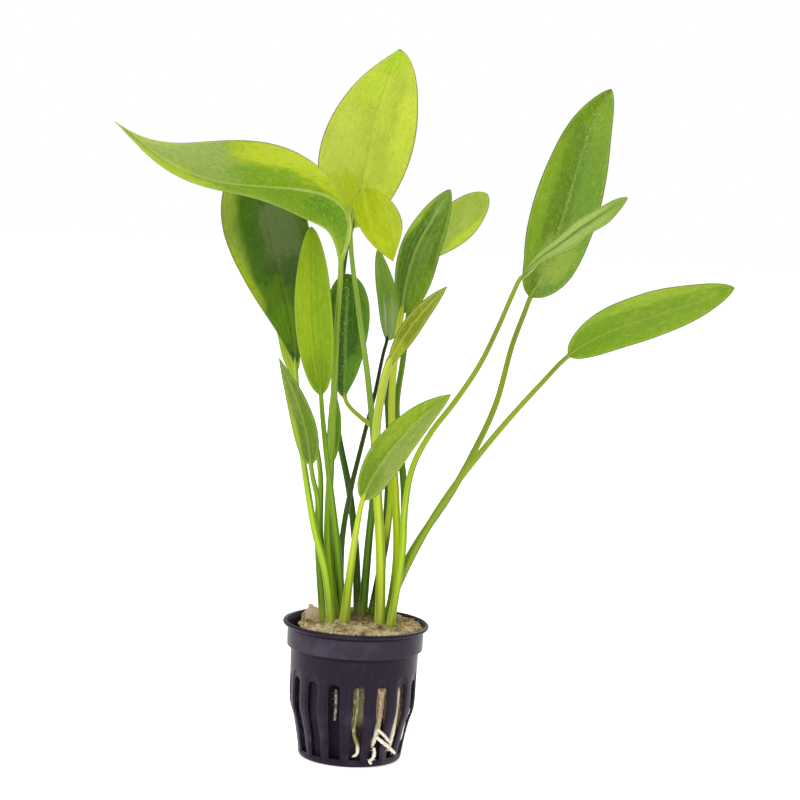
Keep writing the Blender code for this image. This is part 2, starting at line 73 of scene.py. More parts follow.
FIRST_SLOT = 6.6                # degrees from the front, towards +X
RECESS_MARGIN = 0.9             # how far a recess reaches past its slot on either side
RECESS_TOP = 34.6
RECESS_DEPTH = 0.18
RECESS_BELOW = 0.7              # how far it reaches below its slot
SLOT_CUT = 5.0                  # deeper than the wall, so that the slots go through
EDGE_EASE = 0.13                # how far the pot's sharp edges are eased
COLLAR_SKIN = (0.000640, 0.000655)  # squares of two radii in metres, just inside the collar's skin


class Tone:
    """A value that varies over a surface. Operators on it add the nodes that work it out."""

    def __init__(self, tree, socket):
        self.tree = tree
        self.socket = socket

    def node(self, kind, settings, sockets, output=0):
        """Adds a node: its settings first, then the value or link of each socket."""
        made = self.tree.nodes.new("ShaderNode" + kind)
        for key, value in settings.items():
            setattr(made, key, value)
        for key, value in sockets.items():
            if isinstance(value, Tone):
                self.tree.links.new(value.socket, made.inputs[key])
            else:
                made.inputs[key].default_value = value
        return Tone(self.tree, made.outputs[output])

    def math(self, operation, *values):
        return self.node("Math", {"operation": operation}, dict(enumerate(values)))

    def __add__(self, other):
        return self.math("ADD", self, other)

    def __radd__(self, other):
        return self.math("ADD", other, self)

    def __sub__(self, other):
        return self.math("SUBTRACT", self, other)

    def __rsub__(self, other):
        return self.math("SUBTRACT", other, self)

    def __mul__(self, other):
        return self.math("MULTIPLY", self, other)

    def __abs__(self):
        return self.math("ABSOLUTE", self)

    def sine(self):
        return self.math("SINE", self)

    def step(self, low, high):
        """0 below low, 1 above high and smooth between them. High may be the lower one."""
        return self.node("MapRange", {"interpolation_type": "SMOOTHSTEP"},
                         {"Value": self, "From Min": low, "From Max": high})

    def pick(self, where_zero, where_one):
        """A colour that goes from the first to the second as this value goes from 0 to 1."""
        return self.node("Mix", {"data_type": "RGBA"}, {0: self, 6: where_zero, 7: where_one}, 2)

    def axis(self, index):
        return self.node("SeparateXYZ", {}, {0: self}, index)

    def noise(self, size, detail=2.0, stretch=(1, 1, 1)):
        """Soft noise from 0 to 1, its lumps about that many units of this vector apart."""
        scaled = self.node("VectorMath", {"operation": "MULTIPLY"},
                           {0: self, 1: tuple(share / size for share in stretch)})
        return self.node("TexNoise", {}, {"Vector": scaled, "Scale": 1.0, "Detail": detail})

    def drive(self, socket):
        """Feeds the material's own shader."""
        self.tree.links.new(self.socket, self.tree.nodes["Principled BSDF"].inputs[socket])

    def raise_surface(self, depth):
        """Uses this value as height, in metres times depth, for the shader's normal."""
        self.node("Bump", {}, {"Strength": 1.0, "Distance": depth, "Height": self}).drive("Normal")


def new_material(name, constants):
    """A material, and its Object coordinates in metres as the first vector to work from."""
    made = bpy.data.materials.new(name)
    made.use_nodes = True
    shader = made.node_tree.nodes["Principled BSDF"]
    for socket, value in constants.items():
        shader.inputs[socket].default_value = value
    start = Tone(made.node_tree, shader.outputs[0])
    return made, start.node("TexCoord", {}, {}, "Object")


def place_mesh(name, bm, *materials):
    """Brings a bmesh to metres as an object at the origin."""
    bmesh.ops.scale(bm, vec=(MM, MM, MM), verts=bm.verts)
    mesh = bpy.data.meshes.new(name)
    bm.to_mesh(mesh)
    bm.free()
    for material in materials:
        mesh.materials.append(material)
    placed = bpy.data.objects.new(name, mesh)
    bpy.context.collection.objects.link(placed)
    return placed


def add_piece(name, bm, material, nodes):
    """A smooth piece that goes with the pot and stands for those nodes."""
    piece = place_mesh(name, bm, material)
    piece.data.shade_smooth()
    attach(piece, "root")
    if nodes:
        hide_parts(*nodes)
    return piece


def smooth_path(points):
    """A fine path on the smooth curve (centripetal Catmull-Rom) through the points."""
    points = np.array(points, float)
    ends = np.vstack([2 * points[0] - points[1], points, 2 * points[-1] - points[-2]])
    path = []
    for p0, p1, p2, p3 in zip(ends, ends[1:], ends[2:], ends[3:]):
        k1 = np.linalg.norm(p1 - p0) ** 0.5
        k2 = k1 + np.linalg.norm(p2 - p1) ** 0.5
        k3 = k2 + np.linalg.norm(p3 - p2) ** 0.5
        for k in np.linspace(k1, k2, 24, endpoint=False):
            a1 = ((k1 - k) * p0 + k * p1) / k1
            a2 = ((k2 - k) * p1 + (k - k1) * p2) / (k2 - k1)
            a3 = ((k3 - k) * p2 + (k - k2) * p3) / (k3 - k2)
            b1 = ((k2 - k) * a1 + k * a2) / k2
            b2 = ((k3 - k) * a2 + (k - k1) * a3) / (k3 - k1)
            path.append(((k2 - k) * b1 + (k - k1) * b2) / (k2 - k1))
    return np.array(path + [points[-1]])


def arc(centre, radius, start, end, steps):
    """Points of a profile on an arc, from one angle to another in degrees."""
    angles = np.radians(np.linspace(start, end, steps + 1))
    return [(centre[0] + radius * math.cos(a), centre[1] + radius * math.sin(a)) for a in angles]


def loft(rings):
    """A closed bmesh: the first ring of points is filled and extruded to each of the others."""
    bm = bmesh.new()
    verts = [bm.verts.new(p) for p in rings[0]]
    edges = [bm.edges.new(pair) for pair in zip(verts, verts[1:] + verts[:1])]
    bm.faces.new(verts)
    for ring in rings[1:]:
        new = bmesh.ops.extrude_edge_only(bm, edges=edges)["geom"]
        bm.verts.ensure_lookup_table()
        verts = bm.verts[-len(ring):]
        for vert, point in zip(verts, ring):
            vert.co = point
        last = set(verts)
        edges = [e for e in new if isinstance(e, bmesh.types.BMEdge) and last.issuperset(e.verts)]
    bmesh.ops.contextual_create(bm, geom=edges)
    bmesh.ops.recalc_face_normals(bm, faces=bm.faces)
    return bm


def add_shape(bm, shape):
    """Adds a small bmesh to a larger one, and frees it."""
    mesh = bpy.data.meshes.new("shape")
    shape.to_mesh(mesh)
    shape.free()
    bm.from_mesh(mesh)
    bpy.data.meshes.remove(mesh)


side_path = smooth_path(SIDE)


def side_radius(height):
    """The outer radius of the pot's side at a height."""
    return float(np.interp(height, side_path[::-1, 2], side_path[::-1, 0]))


def pot_body():
    """The wall's section, down the outside and up the inside, spun about Z."""
    lip = (RIM_RADIUS - LIP_ROUND, POT_HEIGHT - LIP_ROUND)
    step = (COLLAR_RADIUS - 0.1 - STEP_ROUND, COLLAR_BOTTOM + STEP_ROUND)
    foot = (SIDE[-1][0] - FOOT_ROUND, FOOT_ROUND)
    outside = arc(lip, LIP_ROUND, 90, -90, 10)
    outside += [(COLLAR_RADIUS + 0.35, lip[1] - LIP_ROUND - 0.05), (COLLAR_RADIUS + 0.05, 49.7)]
    outside += [(COLLAR_RADIUS, 49.2)] + arc(step, STEP_ROUND, 0, -90, 4)
    outside += [(24.35, COLLAR_BOTTOM - 0.05)]
    outside += [(r, z) for r, _, z in side_path[::8]] + arc(foot, FOOT_ROUND, 0, -90, 5)
    inside = [(17.6, FLOOR), (18.3, 1.9)] + [(r - WALL, z) for r, _, z in side_path[::-8]]
    inside += [(COLLAR_RADIUS - WALL - 0.2, COLLAR_BOTTOM + 0.9), (COLLAR_RADIUS - WALL, 47.5)]
    inside += [(COLLAR_RADIUS - 0.75, 49.2), (COLLAR_RADIUS - 0.2, 50.4)]
    inside += arc((lip[0] - 0.1, lip[1] + 0.05), LIP_ROUND - 0.05, 170, 90, 5)
    bm = bmesh.new()
    verts = [bm.verts.new((r, 0, z)) for r, z in outside + [(0, 0), (0, FLOOR)] + inside]
    edges = [bm.edges.new(pair) for pair in zip(verts, verts[1:] + verts[:1])]
    bmesh.ops.spin(bm, geom=verts + edges, cent=(0, 0, 0), axis=(0, 0, 1), angle=2 * math.pi,
                   steps=POT_SIDES, use_merge=True)
    bmesh.ops.remove_doubles(bm, verts=bm.verts, dist=0.01)
    bmesh.ops.recalc_face_normals(bm, faces=bm.faces)
    return bm


def slot_cutters(name, half_width, bottom, top, depth):
    """Arched prisms at the sixteen slots, cutting that deep into the side from outside."""
    bm = bmesh.new()
    spring = top - half_width
    rows = [(half_width, z) for z in np.linspace(bottom, spring, 9)]
    rows += [(half_width * math.cos(a), spring + half_width * math.sin(a))
             for a in np.radians((15, 30, 45, 60, 75, 88))]
    rings = []
    for half, z in rows:
        near = side_radius(z) - depth
        shoulder = -math.sqrt(near ** 2 - half ** 2)
        rings.append([(-half, -30, z), (-half, shoulder, z), (0, -near, z), (half, shoulder, z),
                      (half, -30, z)])
    for index in range(SLOTS):
        one = loft(rings)
        turn = Matrix.Rotation(math.radians(FIRST_SLOT + index * 360 / SLOTS), 4, "Z")
        bmesh.ops.transform(one, matrix=turn, verts=one.verts)
        add_shape(bm, one)
    return place_mesh(name, bm)


def cut_pot(pot):
    """Cuts the recesses and the slots, then eases the sharp edges."""
    cutters = [slot_cutters("recess_cutters", SLOT_HALF_WIDTH + RECESS_MARGIN, SLOT_BOTTOM - RECESS_BELOW,
                            RECESS_TOP, RECESS_DEPTH),
               slot_cutters("slot_cutters", SLOT_HALF_WIDTH, SLOT_BOTTOM, SLOT_TOP, SLOT_CUT)]
    for cutter in cutters:
        cut = pot.modifiers.new(cutter.name, "BOOLEAN")
        cut.operation = "DIFFERENCE"
        cut.solver = "EXACT"
        cut.object = cutter
    ease = pot.modifiers.new("eased edges", "BEVEL")
    ease.width = EDGE_EASE * MM
    ease.segments = 2
    ease.limit_method = "ANGLE"
    ease.angle_limit = math.radians(50)
    bpy.context.view_layer.update()
    solid = pot.evaluated_get(bpy.context.evaluated_depsgraph_get())
    pot.data = bpy.data.meshes.new_from_object(solid)
    pot.modifiers.clear()
    for cutter in cutters:
        bpy.data.objects.remove(cutter, do_unlink=True)
    pot.data.shade_smooth()
    pot.data.set_sharp_from_angle(angle=math.radians(32))


def pot_material():
    """Satin black: a smudged grey collar, partly painted sheen strongest at the front, painted shade lines
    under lip and step, faint scuffs, dust low down.
    """
    made, place = new_material("pot_plastic", {"Roughness": 0.35, "Specular IOR Level": 0.12})
    cloud = place.noise(0.012, 3.0)
    scuff = place.noise(0.0006, 2.0, (1, 1, 0.04))
    grain = place.noise(0.0004, 1.0)
    x, y, height = place.axis(0), place.axis(1), place.axis(2)
    low = height.step(0.030, 0.002)
    dust = (cloud.step(0.50, 0.72) * 0.35 + scuff.step(0.58, 0.75) * 0.12) * (low * 0.7 + 0.3)
    step, lip = COLLAR_BOTTOM * MM, (POT_HEIGHT - 2 * LIP_ROUND) * MM
    collar = height.step(step - 0.0002, step + 0.0008) * height.step(lip, lip - 0.0005)
    outside = (x * x + y * y).step(*COLLAR_SKIN)
    smudge = cloud.step(0.62, 0.42) * 0.5
    # painted light: the collar's sheen is strongest at the front, where the light falls on it
    front = abs(x).step(0.024, 0.010) * 0.75 + 0.25
    sheen_and_scuffs = collar * outside * front * (0.5 + cloud * 1.2) * (1 - smudge) + scuff.step(0.45, 0.7) * 0.1
    # painted shade: dark lines just under the step and under the lip
    painted_shade_lines = height.step(step - 0.0013, step - 0.0004) * height.step(step + 0.0004, step - 0.0001)
    painted_shade_lines = painted_shade_lines + height.step(lip - 0.0012, lip - 0.0007) * height.step(lip + 0.0003, lip - 0.0002)
    black = (sheen_and_scuffs * (1 - painted_shade_lines)).pick(POT_BLACK, POT_SHEEN_AND_SCUFFS)
    black = (painted_shade_lines * 0.8).pick(black, POT_SHADOW)
    dust.pick(black, POT_DUST).drive("Base Color")
    (0.27 + cloud * 0.14 + dust * 0.4).drive("Roughness")
    (grain * 0.5 + scuff * 0.2).raise_surface(0.00003)
    return made


pot = add_piece("net_pot", pot_body(), pot_material(), ["pot"])
cut_pot(pot)


# Mineral wool plug
# Spun stone fibre in a block that was pressed into the pot round the crown, tan and brown from use.
# It is crumbly, stands back from the rim at the left in a torn tuft, and shows behind the slots.
WOOL_RADIUS = 24.0
# The side's radius behind the roots, its radius elsewhere, and the height
WOOL_SIDE = [(15.8, 17.2, FLOOR + 0.3), (16.4, 18.3, 5.0), (17.6, 19.4, 11.0), (19.4, 21.6, 19.0),
             (19.4, 21.9, 33.0), (22.2, 22.2, 37.0), (22.6, 22.6, 43.6)]
BEHIND_ROOTS = (29.5, 50, 66)   # degrees from the front, then how far round it keeps back, and is full
WOOL_LEAN = 0.2                 # how far the torn side at the left leans in, for each mm of height
WOOL_COLLAR_Z = 46.0
WOOL_RIM_Z = 51.2
WOOL_RISE = 1.6
WOOL_EDGE_DROP = 0.5
WOOL_SPREAD = 1.3               # how far its top spreads out over the inside of the lip
WOOL_NOTCH = (4.6, 34)          # how far it stands back from the rim at the left, over what degrees
WOOL_EDGE_SHARE = 0.9           # where the top begins to drop, as a share of its edge's radius
WOOL_LUMPS = (0.35, 0.42, 0.37)  # their height, and their waves in radians a mm, across and back
WOOL_TUFT = (-17.0, 4.0)
TUFT_HEIGHT = 4.2
TUFT_SPREAD = 14.0
WOOL_SIDES = 160
WOOL_ROWS = 46                  # up the side
WOOL_RINGS = 54                 # in over the top
SIDE_CRUMBLE = (2.2, 1.1)       # size and depth of the crumbs
TOP_CRUMBLE = (3.0, 1.6)
TOP_GRIT = (1.1, 0.6)
WOOL_TAN = (0.44, 0.33, 0.155, 1.0)
WOOL_PALE = (0.70, 0.60, 0.36, 1.0)
WOOL_BROWN = (0.155, 0.095, 0.045, 1.0)
WOOL_GREEN = (0.27, 0.27, 0.075, 1.0)
# painted shade, for the wool seen behind the slots
WOOL_PAINTED_SHADE = (0.020, 0.011, 0.026, 1.0)
WOOL_PINK = (0.66, 0.49, 0.36, 1.0)
FIBRES = 1300
CRUMBS = 520
LUMPS = 110


def wool_height(x, y):
    """The wool's top surface: a low dome with shallow lumps and a tuft standing at the left."""
    radius = math.hypot(x, y)
    dome = WOOL_RISE * (1 - (radius / WOOL_RADIUS) ** 2)
    lump, wave_x, wave_y = WOOL_LUMPS
    lumps = lump * math.sin(wave_x * x + 1) * math.cos(wave_y * y - 0.5)
    apart = (x - WOOL_TUFT[0]) ** 2 + (y - WOOL_TUFT[1]) ** 2
    return WOOL_RIM_Z + dome + lumps + TUFT_HEIGHT * math.exp(-apart / TUFT_SPREAD)


def wool_edge(angle):
    """The wool's radius at its top, less on the left where it stands back from the rim."""
    away = math.degrees(abs(math.remainder(angle - math.pi, 2 * math.pi)))
    depth, spread = WOOL_NOTCH
    return WOOL_RADIUS - depth * math.exp(-(away / spread) ** 2)


def wool_side(angle, behind, elsewhere):
    """The wool's radius below the collar: it keeps back from the wall behind the roots."""
    middle, back, full = BEHIND_ROOTS
    away = abs(math.remainder(math.degrees(angle) + 90 - middle, 360))
    return float(np.interp(away, (back, full), (behind, elsewhere)))


def top_edge(angle):
    """The radius of the top's edge, spread over the inside of the lip."""
    return wool_edge(angle) + WOOL_SPREAD


def edge_drop(share):
    """How far the top has dropped at that share of its edge's radius."""
    return WOOL_EDGE_DROP * max(0, share - WOOL_EDGE_SHARE) / (1 - WOOL_EDGE_SHARE)


def crumble(point, size, depth):
    """A height from noise that breaks a smooth surface into crumbs of about that size."""
    return depth * (noise.turbulence(Vector(point) / size, 3, True) - 0.6)


def wool_body():
    """Rings up the plug's side and in over its top, each point moved by the crumbling."""
    angles = [index * 2 * math.pi / WOOL_SIDES for index in range(WOOL_SIDES)]
    side = np.array(WOOL_SIDE + [(WOOL_RADIUS, WOOL_RADIUS, WOOL_COLLAR_Z)])
    rings = []
    for z in np.linspace(side[0, 2], WOOL_COLLAR_Z, WOOL_ROWS):
        behind, elsewhere = (np.interp(z, side[:, 2], side[:, column]) for column in (0, 1))
        ring = []
        for a in angles:
            lean = WOOL_LEAN * (WOOL_COLLAR_Z - z)
            radius = min(wool_side(a, behind, elsewhere), wool_edge(a) + lean)
            flat = (radius * math.cos(a), radius * math.sin(a), z)
            radius += min(crumble(flat, *SIDE_CRUMBLE), 0.25)
            ring.append((radius * math.cos(a), radius * math.sin(a), z))
        rings.append(ring)
    for share in [1.0] + list(0.985 * np.linspace(1, 0.02, WOOL_RINGS)):
        ring = []
        for a in angles:
            x, y = share * top_edge(a) * math.cos(a), share * top_edge(a) * math.sin(a)
            lift = crumble((x, y, 0), *TOP_CRUMBLE) + crumble((x, y, 9), *TOP_GRIT)
            apart = math.hypot(x - WOOL_TUFT[0], y - WOOL_TUFT[1])
            z = wool_height(x, y) - edge_drop(share)
            ring.append((x, y, z + lift * min(1, 0.3 + apart / 8)))
        rings.append(ring)
    return loft(rings)


def wool_material():
    """Tan with brown patches, paler in front and pinkish at the tuft, brown round the stalks as painted
    shade.

    Behind the slots it is dark with painted shade, with a green strip in the middle of its front and
    back and pale fibre at the front right.
    """
    made, place = new_material("mineral_wool", {"Roughness": 0.95, "Specular IOR Level": 0.2})
    clump = place.noise(0.0055, 3.0)
    speck = place.noise(0.0011, 3.0)
    fibre = place.noise(0.0009, 2.0, (1, 0.25, 0.8))
    x, y, z = place.axis(0), place.axis(1), place.axis(2)
    pale = (speck * 0.4 + clump * 0.6).step(0.42, 0.58) * (y.step(0.004, -0.020) * 0.55 + 0.36)
    tan = clump.step(0.30, 0.46).pick(WOOL_BROWN, WOOL_TAN)
    top = pale.pick(tan, WOOL_PALE)
    # painted shade of the leaves: brown round the stalks
    stem_shade = (x * x + (y - 0.006) * (y - 0.006)).step(0.00030, 0.00005) * 0.6
    top = stem_shade.pick(top, WOOL_BROWN)
    green = clump.step(0.3, 0.7) * x.step(0.0065, 0.0015)
    side = green.pick(top, WOOL_GREEN)
    # painted shade inside the pot wall: dark away from the front strip, and in a band lower down
    shaded = (x.step(0.0005, -0.0015) + x.step(0.0042, 0.0056)) * z.step(0.038, 0.034)
    low = z.step(0.021, 0.014) * z.step(0.040, 0.036)
    side = (shaded * 0.98).pick(side, WOOL_PAINTED_SHADE)
    side = (low * 0.9).pick(side, WOOL_PAINTED_SHADE)
    mat = x.step(0.0118, 0.0132) * y.step(0.000, -0.006) * z.step(0.008, 0.018)
    mat = mat * (fibre.step(0.3, 0.55) * 0.6 + 0.4)
    side = mat.pick(side, WOOL_PALE)
    tuft = z.step(0.0520, 0.0545) * x.step(-0.011, -0.015)
    top = (tuft * 0.75).pick(top, WOOL_PINK)
    z.step(0.040, 0.044).pick(side, top).drive("Base Color")
    (fibre * 0.6 + speck * 0.8).raise_surface(0.0006)
    return made


def strand(start, heading, length, thickness, rng):
    """A bent fibre of four short runs, three sides round."""
    point, heading = Vector(start), Vector(heading).normalized()
    side = heading.orthogonal().normalized()
    rings = []
    for index in range(5):
        half = thickness / 2 * (1 - 0.15 * index)
        other = heading.cross(side)
        rings.append([point + half * (math.cos(a) * side + math.sin(a) * other)
                      for a in (0, 2.1, 4.2)])
        heading = (heading + 0.45 * Vector([rng.uniform(-1, 1) for _ in range(3)])).normalized()
        side = (side - side.dot(heading) * heading).normalized()
        point = point + heading * length / 4
    return rings


def join_lofts(groups):
    """Many small closed shapes as one bmesh, each from its own rings."""
    bm = bmesh.new()
    for rings in groups:
        add_shape(bm, loft(rings))
    return bm


def wool_spot(rng, reach=0.97):
    """A random place on the wool's top."""
    angle, share = rng.uniform(0, 2 * math.pi), reach * math.sqrt(rng.random())
    x, y = share * top_edge(angle) * math.cos(angle), share * top_edge(angle) * math.sin(angle)
    return x, y, wool_height(x, y) - edge_drop(share)


def wool_fibres(rng):
    """Loose fibres that lie on the top or stand up from it a little."""
    strands = []
    for _ in range(FIBRES):
        x, y, z = wool_spot(rng, 0.94)
        heading = (rng.uniform(-1, 1), rng.uniform(-1, 1), rng.uniform(-0.1, 0.5))
        strands.append(strand((x, y, z - 0.1), heading, rng.uniform(1.2, 3.2),
                              rng.uniform(0.08, 0.16), rng))
    return join_lofts(strands)


def wool_crumbs(rng):
    """Broken lumps and crumbs of wool, thickest along the front edge, where they lie on the lip."""
    bm = bmesh.new()
    for index in range(CRUMBS):
        x, y, z = wool_spot(rng, 0.95)
        if index % 2:
            angle = math.radians(rng.uniform(200, 350))
            reach = top_edge(angle) * rng.uniform(0.9, 1.015)
            x, y = reach * math.cos(angle), reach * math.sin(angle)
            z = wool_height(x, y)
        size = rng.uniform(0.6, 1.15) if index < LUMPS else rng.uniform(0.25, 0.7)
        made = bmesh.ops.create_icosphere(bm, subdivisions=1 + (index < LUMPS), radius=size)["verts"]
        turn = Matrix.Rotation(rng.uniform(0, 6.3), 3, (rng.random(), rng.random(), 1))
        for vert in made:
            rough = 1 + 0.35 * noise.noise(vert.co * 2 / size + Vector((index, 0, 0)))
            vert.co = turn @ (vert.co * rough * Vector((1, 0.75, 0.6))) + Vector((x, y, z))
    return bm


wool_finish = wool_material()
add_piece("wool_plug", wool_body(), wool_finish, ["rockwool_plug"])
wool_random = random.Random(11)
add_piece("wool_fibres", wool_fibres(wool_random), wool_finish, [])
add_piece("wool_crumbs", wool_crumbs(wool_random), wool_finish, [])


# Roots
# Cream white water roots that have grown out of the wool and run down inside the wall, some of
# them through a slot and back. The thick one forks at its top, thin hairs branch off them all, and
# fine roots run down beside four of them as mats.
ROOTS = {
    "root_front": ([(6, 21.2, 31), (6, 21.2, 22), (4, 20.6, 14), (9, 20, 8.5), (9, 19.2, 5.4),
                    (4, 18.4, 4)], (1.9, 1.2)),
    "root_thick": ([(31, 21, 31), (30.5, 21, 25), (30, 20.9, 18), (28, 20.2, 12),
                    (26.5, 18.3, 7.5)], (2.5, 1.7)),
    "root_across_upper": ([(26.5, 22.8, 15.6), (31, 23, 14), (36, 22.5, 12.4), (40, 22.2, 10.8),
                           (44.5, 21.9, 9.6)], (1.3, 1.1)),
    "root_across_lower": ([(26, 22.5, 12.6), (32, 22.4, 10.8), (40, 21.9, 8.6), (48, 21.4, 6.4),
                           (55, 21, 4.6)], (1.5, 1.3)),
    "root_curl": ([(27, 20.3, 8), (27, 21, 5.6), (25, 21, 3.8), (22, 20.9, 3), (24.5, 21, 1.9)],
                  (1.4, 1.1)),
    "root_right": ([(52.5, 21, 30), (51, 21, 22), (51.5, 20.4, 15), (49.5, 20, 9.5),
                    (49.5, 19, 5.5)], (2.5, 1.5)),
    "root_far_right": ([(74, 21, 30), (75, 21, 22), (73, 20.3, 14), (75, 19.4, 8)], (2.5, 1.5)),
    "root_left": ([(-16, 21.2, 30), (-15, 21.2, 24), (-16, 21, 18)], (1.6, 1.1)),
}
ROOT_TOPS = {"root_front": (0.20, 0.17, 0.035, 1.0), "root_thick": (0.42, 0.29, 0.13, 1.0),
             "root_right": (0.66, 0.52, 0.33, 1.0), "root_far_right": (0.60, 0.48, 0.31, 1.0),
             "root_left": (0.09, 0.075, 0.075, 1.0)}
ROOT_CREAM = (0.80, 0.70, 0.50, 1.0)
ROOT_WHITE = (0.90, 0.86, 0.76, 1.0)
ROOT_STATIONS = 44
ROOT_SIDES = 12
ROOT_HAIRS = 7
ROOT_STAINED = (0.012, 0.018)   # metres up, where the stain begins and where it is full
FRONT_STAINED = (0.006, 0.011)  # on the front root
FORK_FOOT = (30, 21.5, 26.5)    # degrees from the front, distance from the pot's axis, and height
FORK_TIPS = ((25.6, 31.2), (29.5, 30.0), (33.8, 30.8))  # degrees from the front, and height
FORK_OUT = 22.3                 # the tips' distance from the pot's axis
MAT_LEVEL = 13                  # the fine roots follow the stops above this height
ROOT_MATS = {"root_front": 9, "root_thick": 14, "root_right": 18, "root_far_right": 18}


def round_the_pot(degrees, radius, height):
    """A point from its angle off the front, its distance from the pot's axis and its height."""
    angle = math.radians(degrees)
    return radius * math.sin(angle), -radius * math.cos(angle), height


def lengths(path):
    """How far along a path each of its points is."""
    return np.concatenate([[0.0], np.cumsum(np.linalg.norm(np.diff(path, axis=0), axis=1))])


def resample(path, shares):
    """Points at those shares of the path's length."""
    along = lengths(path)
    wanted = np.asarray(shares) * along[-1]
    return np.stack([np.interp(wanted, along, path[:, axis]) for axis in range(3)], axis=1)


def unit(vectors):
    """The same directions, each with length one."""
    return vectors / np.linalg.norm(vectors, axis=1)[:, None]


def directions(points, turn=(0, 0, 0)):
    """Side and normal at each point, square to the curve and turned about it."""
    front_back = np.array((0.0, 1.0, 0.0))
    tangent = unit(np.gradient(points, axis=0))
    side = unit(np.cross(front_back, tangent))
    depth = unit(front_back - (tangent @ front_back)[:, None] * tangent)
    along = lengths(points) / lengths(points)[-1]
    angle = np.radians(np.interp(along, np.linspace(0, 1, len(turn)), turn))[:, None]
    side = np.cos(angle) * side + np.sin(angle) * depth
    return side, np.cross(side, tangent)


def tube_rings(points, radii, sides, ribs=0, rib_depth=0.0):
    """Rings round a curve, plain or with lengthwise ribs."""
    side, normal = directions(points)
    turns = np.arange(sides) * 2 * math.pi / sides
    shape = 1 + rib_depth * np.cos(ribs * turns)
    return [[p + r * k * (math.cos(a) * s + math.sin(a) * n) for a, k in zip(turns, shape)]
            for p, r, s, n in zip(points, radii, side, normal)]


def root_rings(route, widths, rng):
    """A root's knobbly skin, and the hairs along it."""
    path = smooth_path([round_the_pot(*stop) for stop in route])
    shares = np.linspace(0, 1, ROOT_STATIONS)
    points = resample(path, shares)
    swell = [noise.noise(Vector((rng.random() * 0.2, share * 9, widths[0]))) for share in shares]
    radii = np.interp(shares, (0, 1), widths) / 2 * (1 + 0.22 * np.array(swell))
    radii *= np.clip(np.minimum(shares, 1 - shares) / 0.04, 0.25, 1) ** 0.5
    rings = [tube_rings(points, radii, ROOT_SIDES)]
    for _ in range(ROOT_HAIRS):
        at = points[rng.randrange(3, ROOT_STATIONS - 3)]
        heading = (rng.uniform(-1, 1), rng.uniform(-0.3, 0.3), rng.uniform(-1, 0.2))
        rings.append(strand(at, heading, rng.uniform(1.0, 2.2), 0.28, rng))
    return rings


def root_fork(widths):
    """The three prongs at the thick root's top, in its slot."""
    start = np.array(round_the_pot(*FORK_FOOT))
    shares = np.linspace(0, 1, 12)
    radii = np.interp(shares, (0, 1), (widths[0] / 2, 0.35))
    prongs = []
    for degrees, height in FORK_TIPS:
        tip = np.array(round_the_pot(degrees, FORK_OUT, height))
        prongs.append(tube_rings(start + shares[:, None] * (tip - start), radii, ROOT_SIDES))
    return prongs


def root_mat(route, count, rng):
    """Fine roots that run down beside the root in its slot, as a mat."""
    upper = [stop for stop in route if stop[2] > MAT_LEVEL]
    strands = []
    for _ in range(count):
        aside, out, thick = rng.uniform(-4.4, 4.4), rng.uniform(-0.5, 0.7), rng.uniform(0.18, 0.34)
        stops = [round_the_pot(degrees + aside + rng.uniform(-1, 1), radius + out, height)
                 for degrees, radius, height in upper]
        shares = np.linspace(0, rng.uniform(0.6, 1), 20)
        radii = thick * (1 - 0.7 * shares ** 3)
        strands.append(tube_rings(resample(smooth_path(stops), shares), radii, 5))
    return strands


def root_material(name, top):
    """White to cream, stained by what it has grown through at its top, moist and a little see-through."""
    made, place = new_material(name + "_skin", {"Roughness": 0.5, "Subsurface Weight": 0.15,
                                                "Subsurface Radius": (0.9, 0.7, 0.4),
                                                "Subsurface Scale": 0.001})
    patch = place.noise(0.004, 2.0)
    fine = place.noise(0.0007, 2.0, (1, 1, 0.4))
    cream = fine.step(0.35, 0.65).pick(ROOT_CREAM, ROOT_WHITE)
    reach = FRONT_STAINED if name == "root_front" else ROOT_STAINED
    stained = place.axis(2).step(*reach) * (fine.step(0.62, 0.45) * 0.35 + 0.65)
    stained.pick(cream, top).drive("Base Color")
    (0.4 + patch * 0.25).drive("Roughness")
    fine.raise_surface(0.0002)
    return made


root_random = random.Random(5)
for root_name, (route, widths) in ROOTS.items():
    shapes = root_rings(route, widths, root_random)
    if root_name == "root_thick":
        shapes += root_fork(widths)
    shapes += root_mat(route, ROOT_MATS.get(root_name, 0), root_random)
    finish = root_material(root_name, ROOT_TOPS.get(root_name, ROOT_CREAM))
    add_piece(root_name.replace("root_", "") + "_root", join_lofts(shapes), finish,
              [root_name])
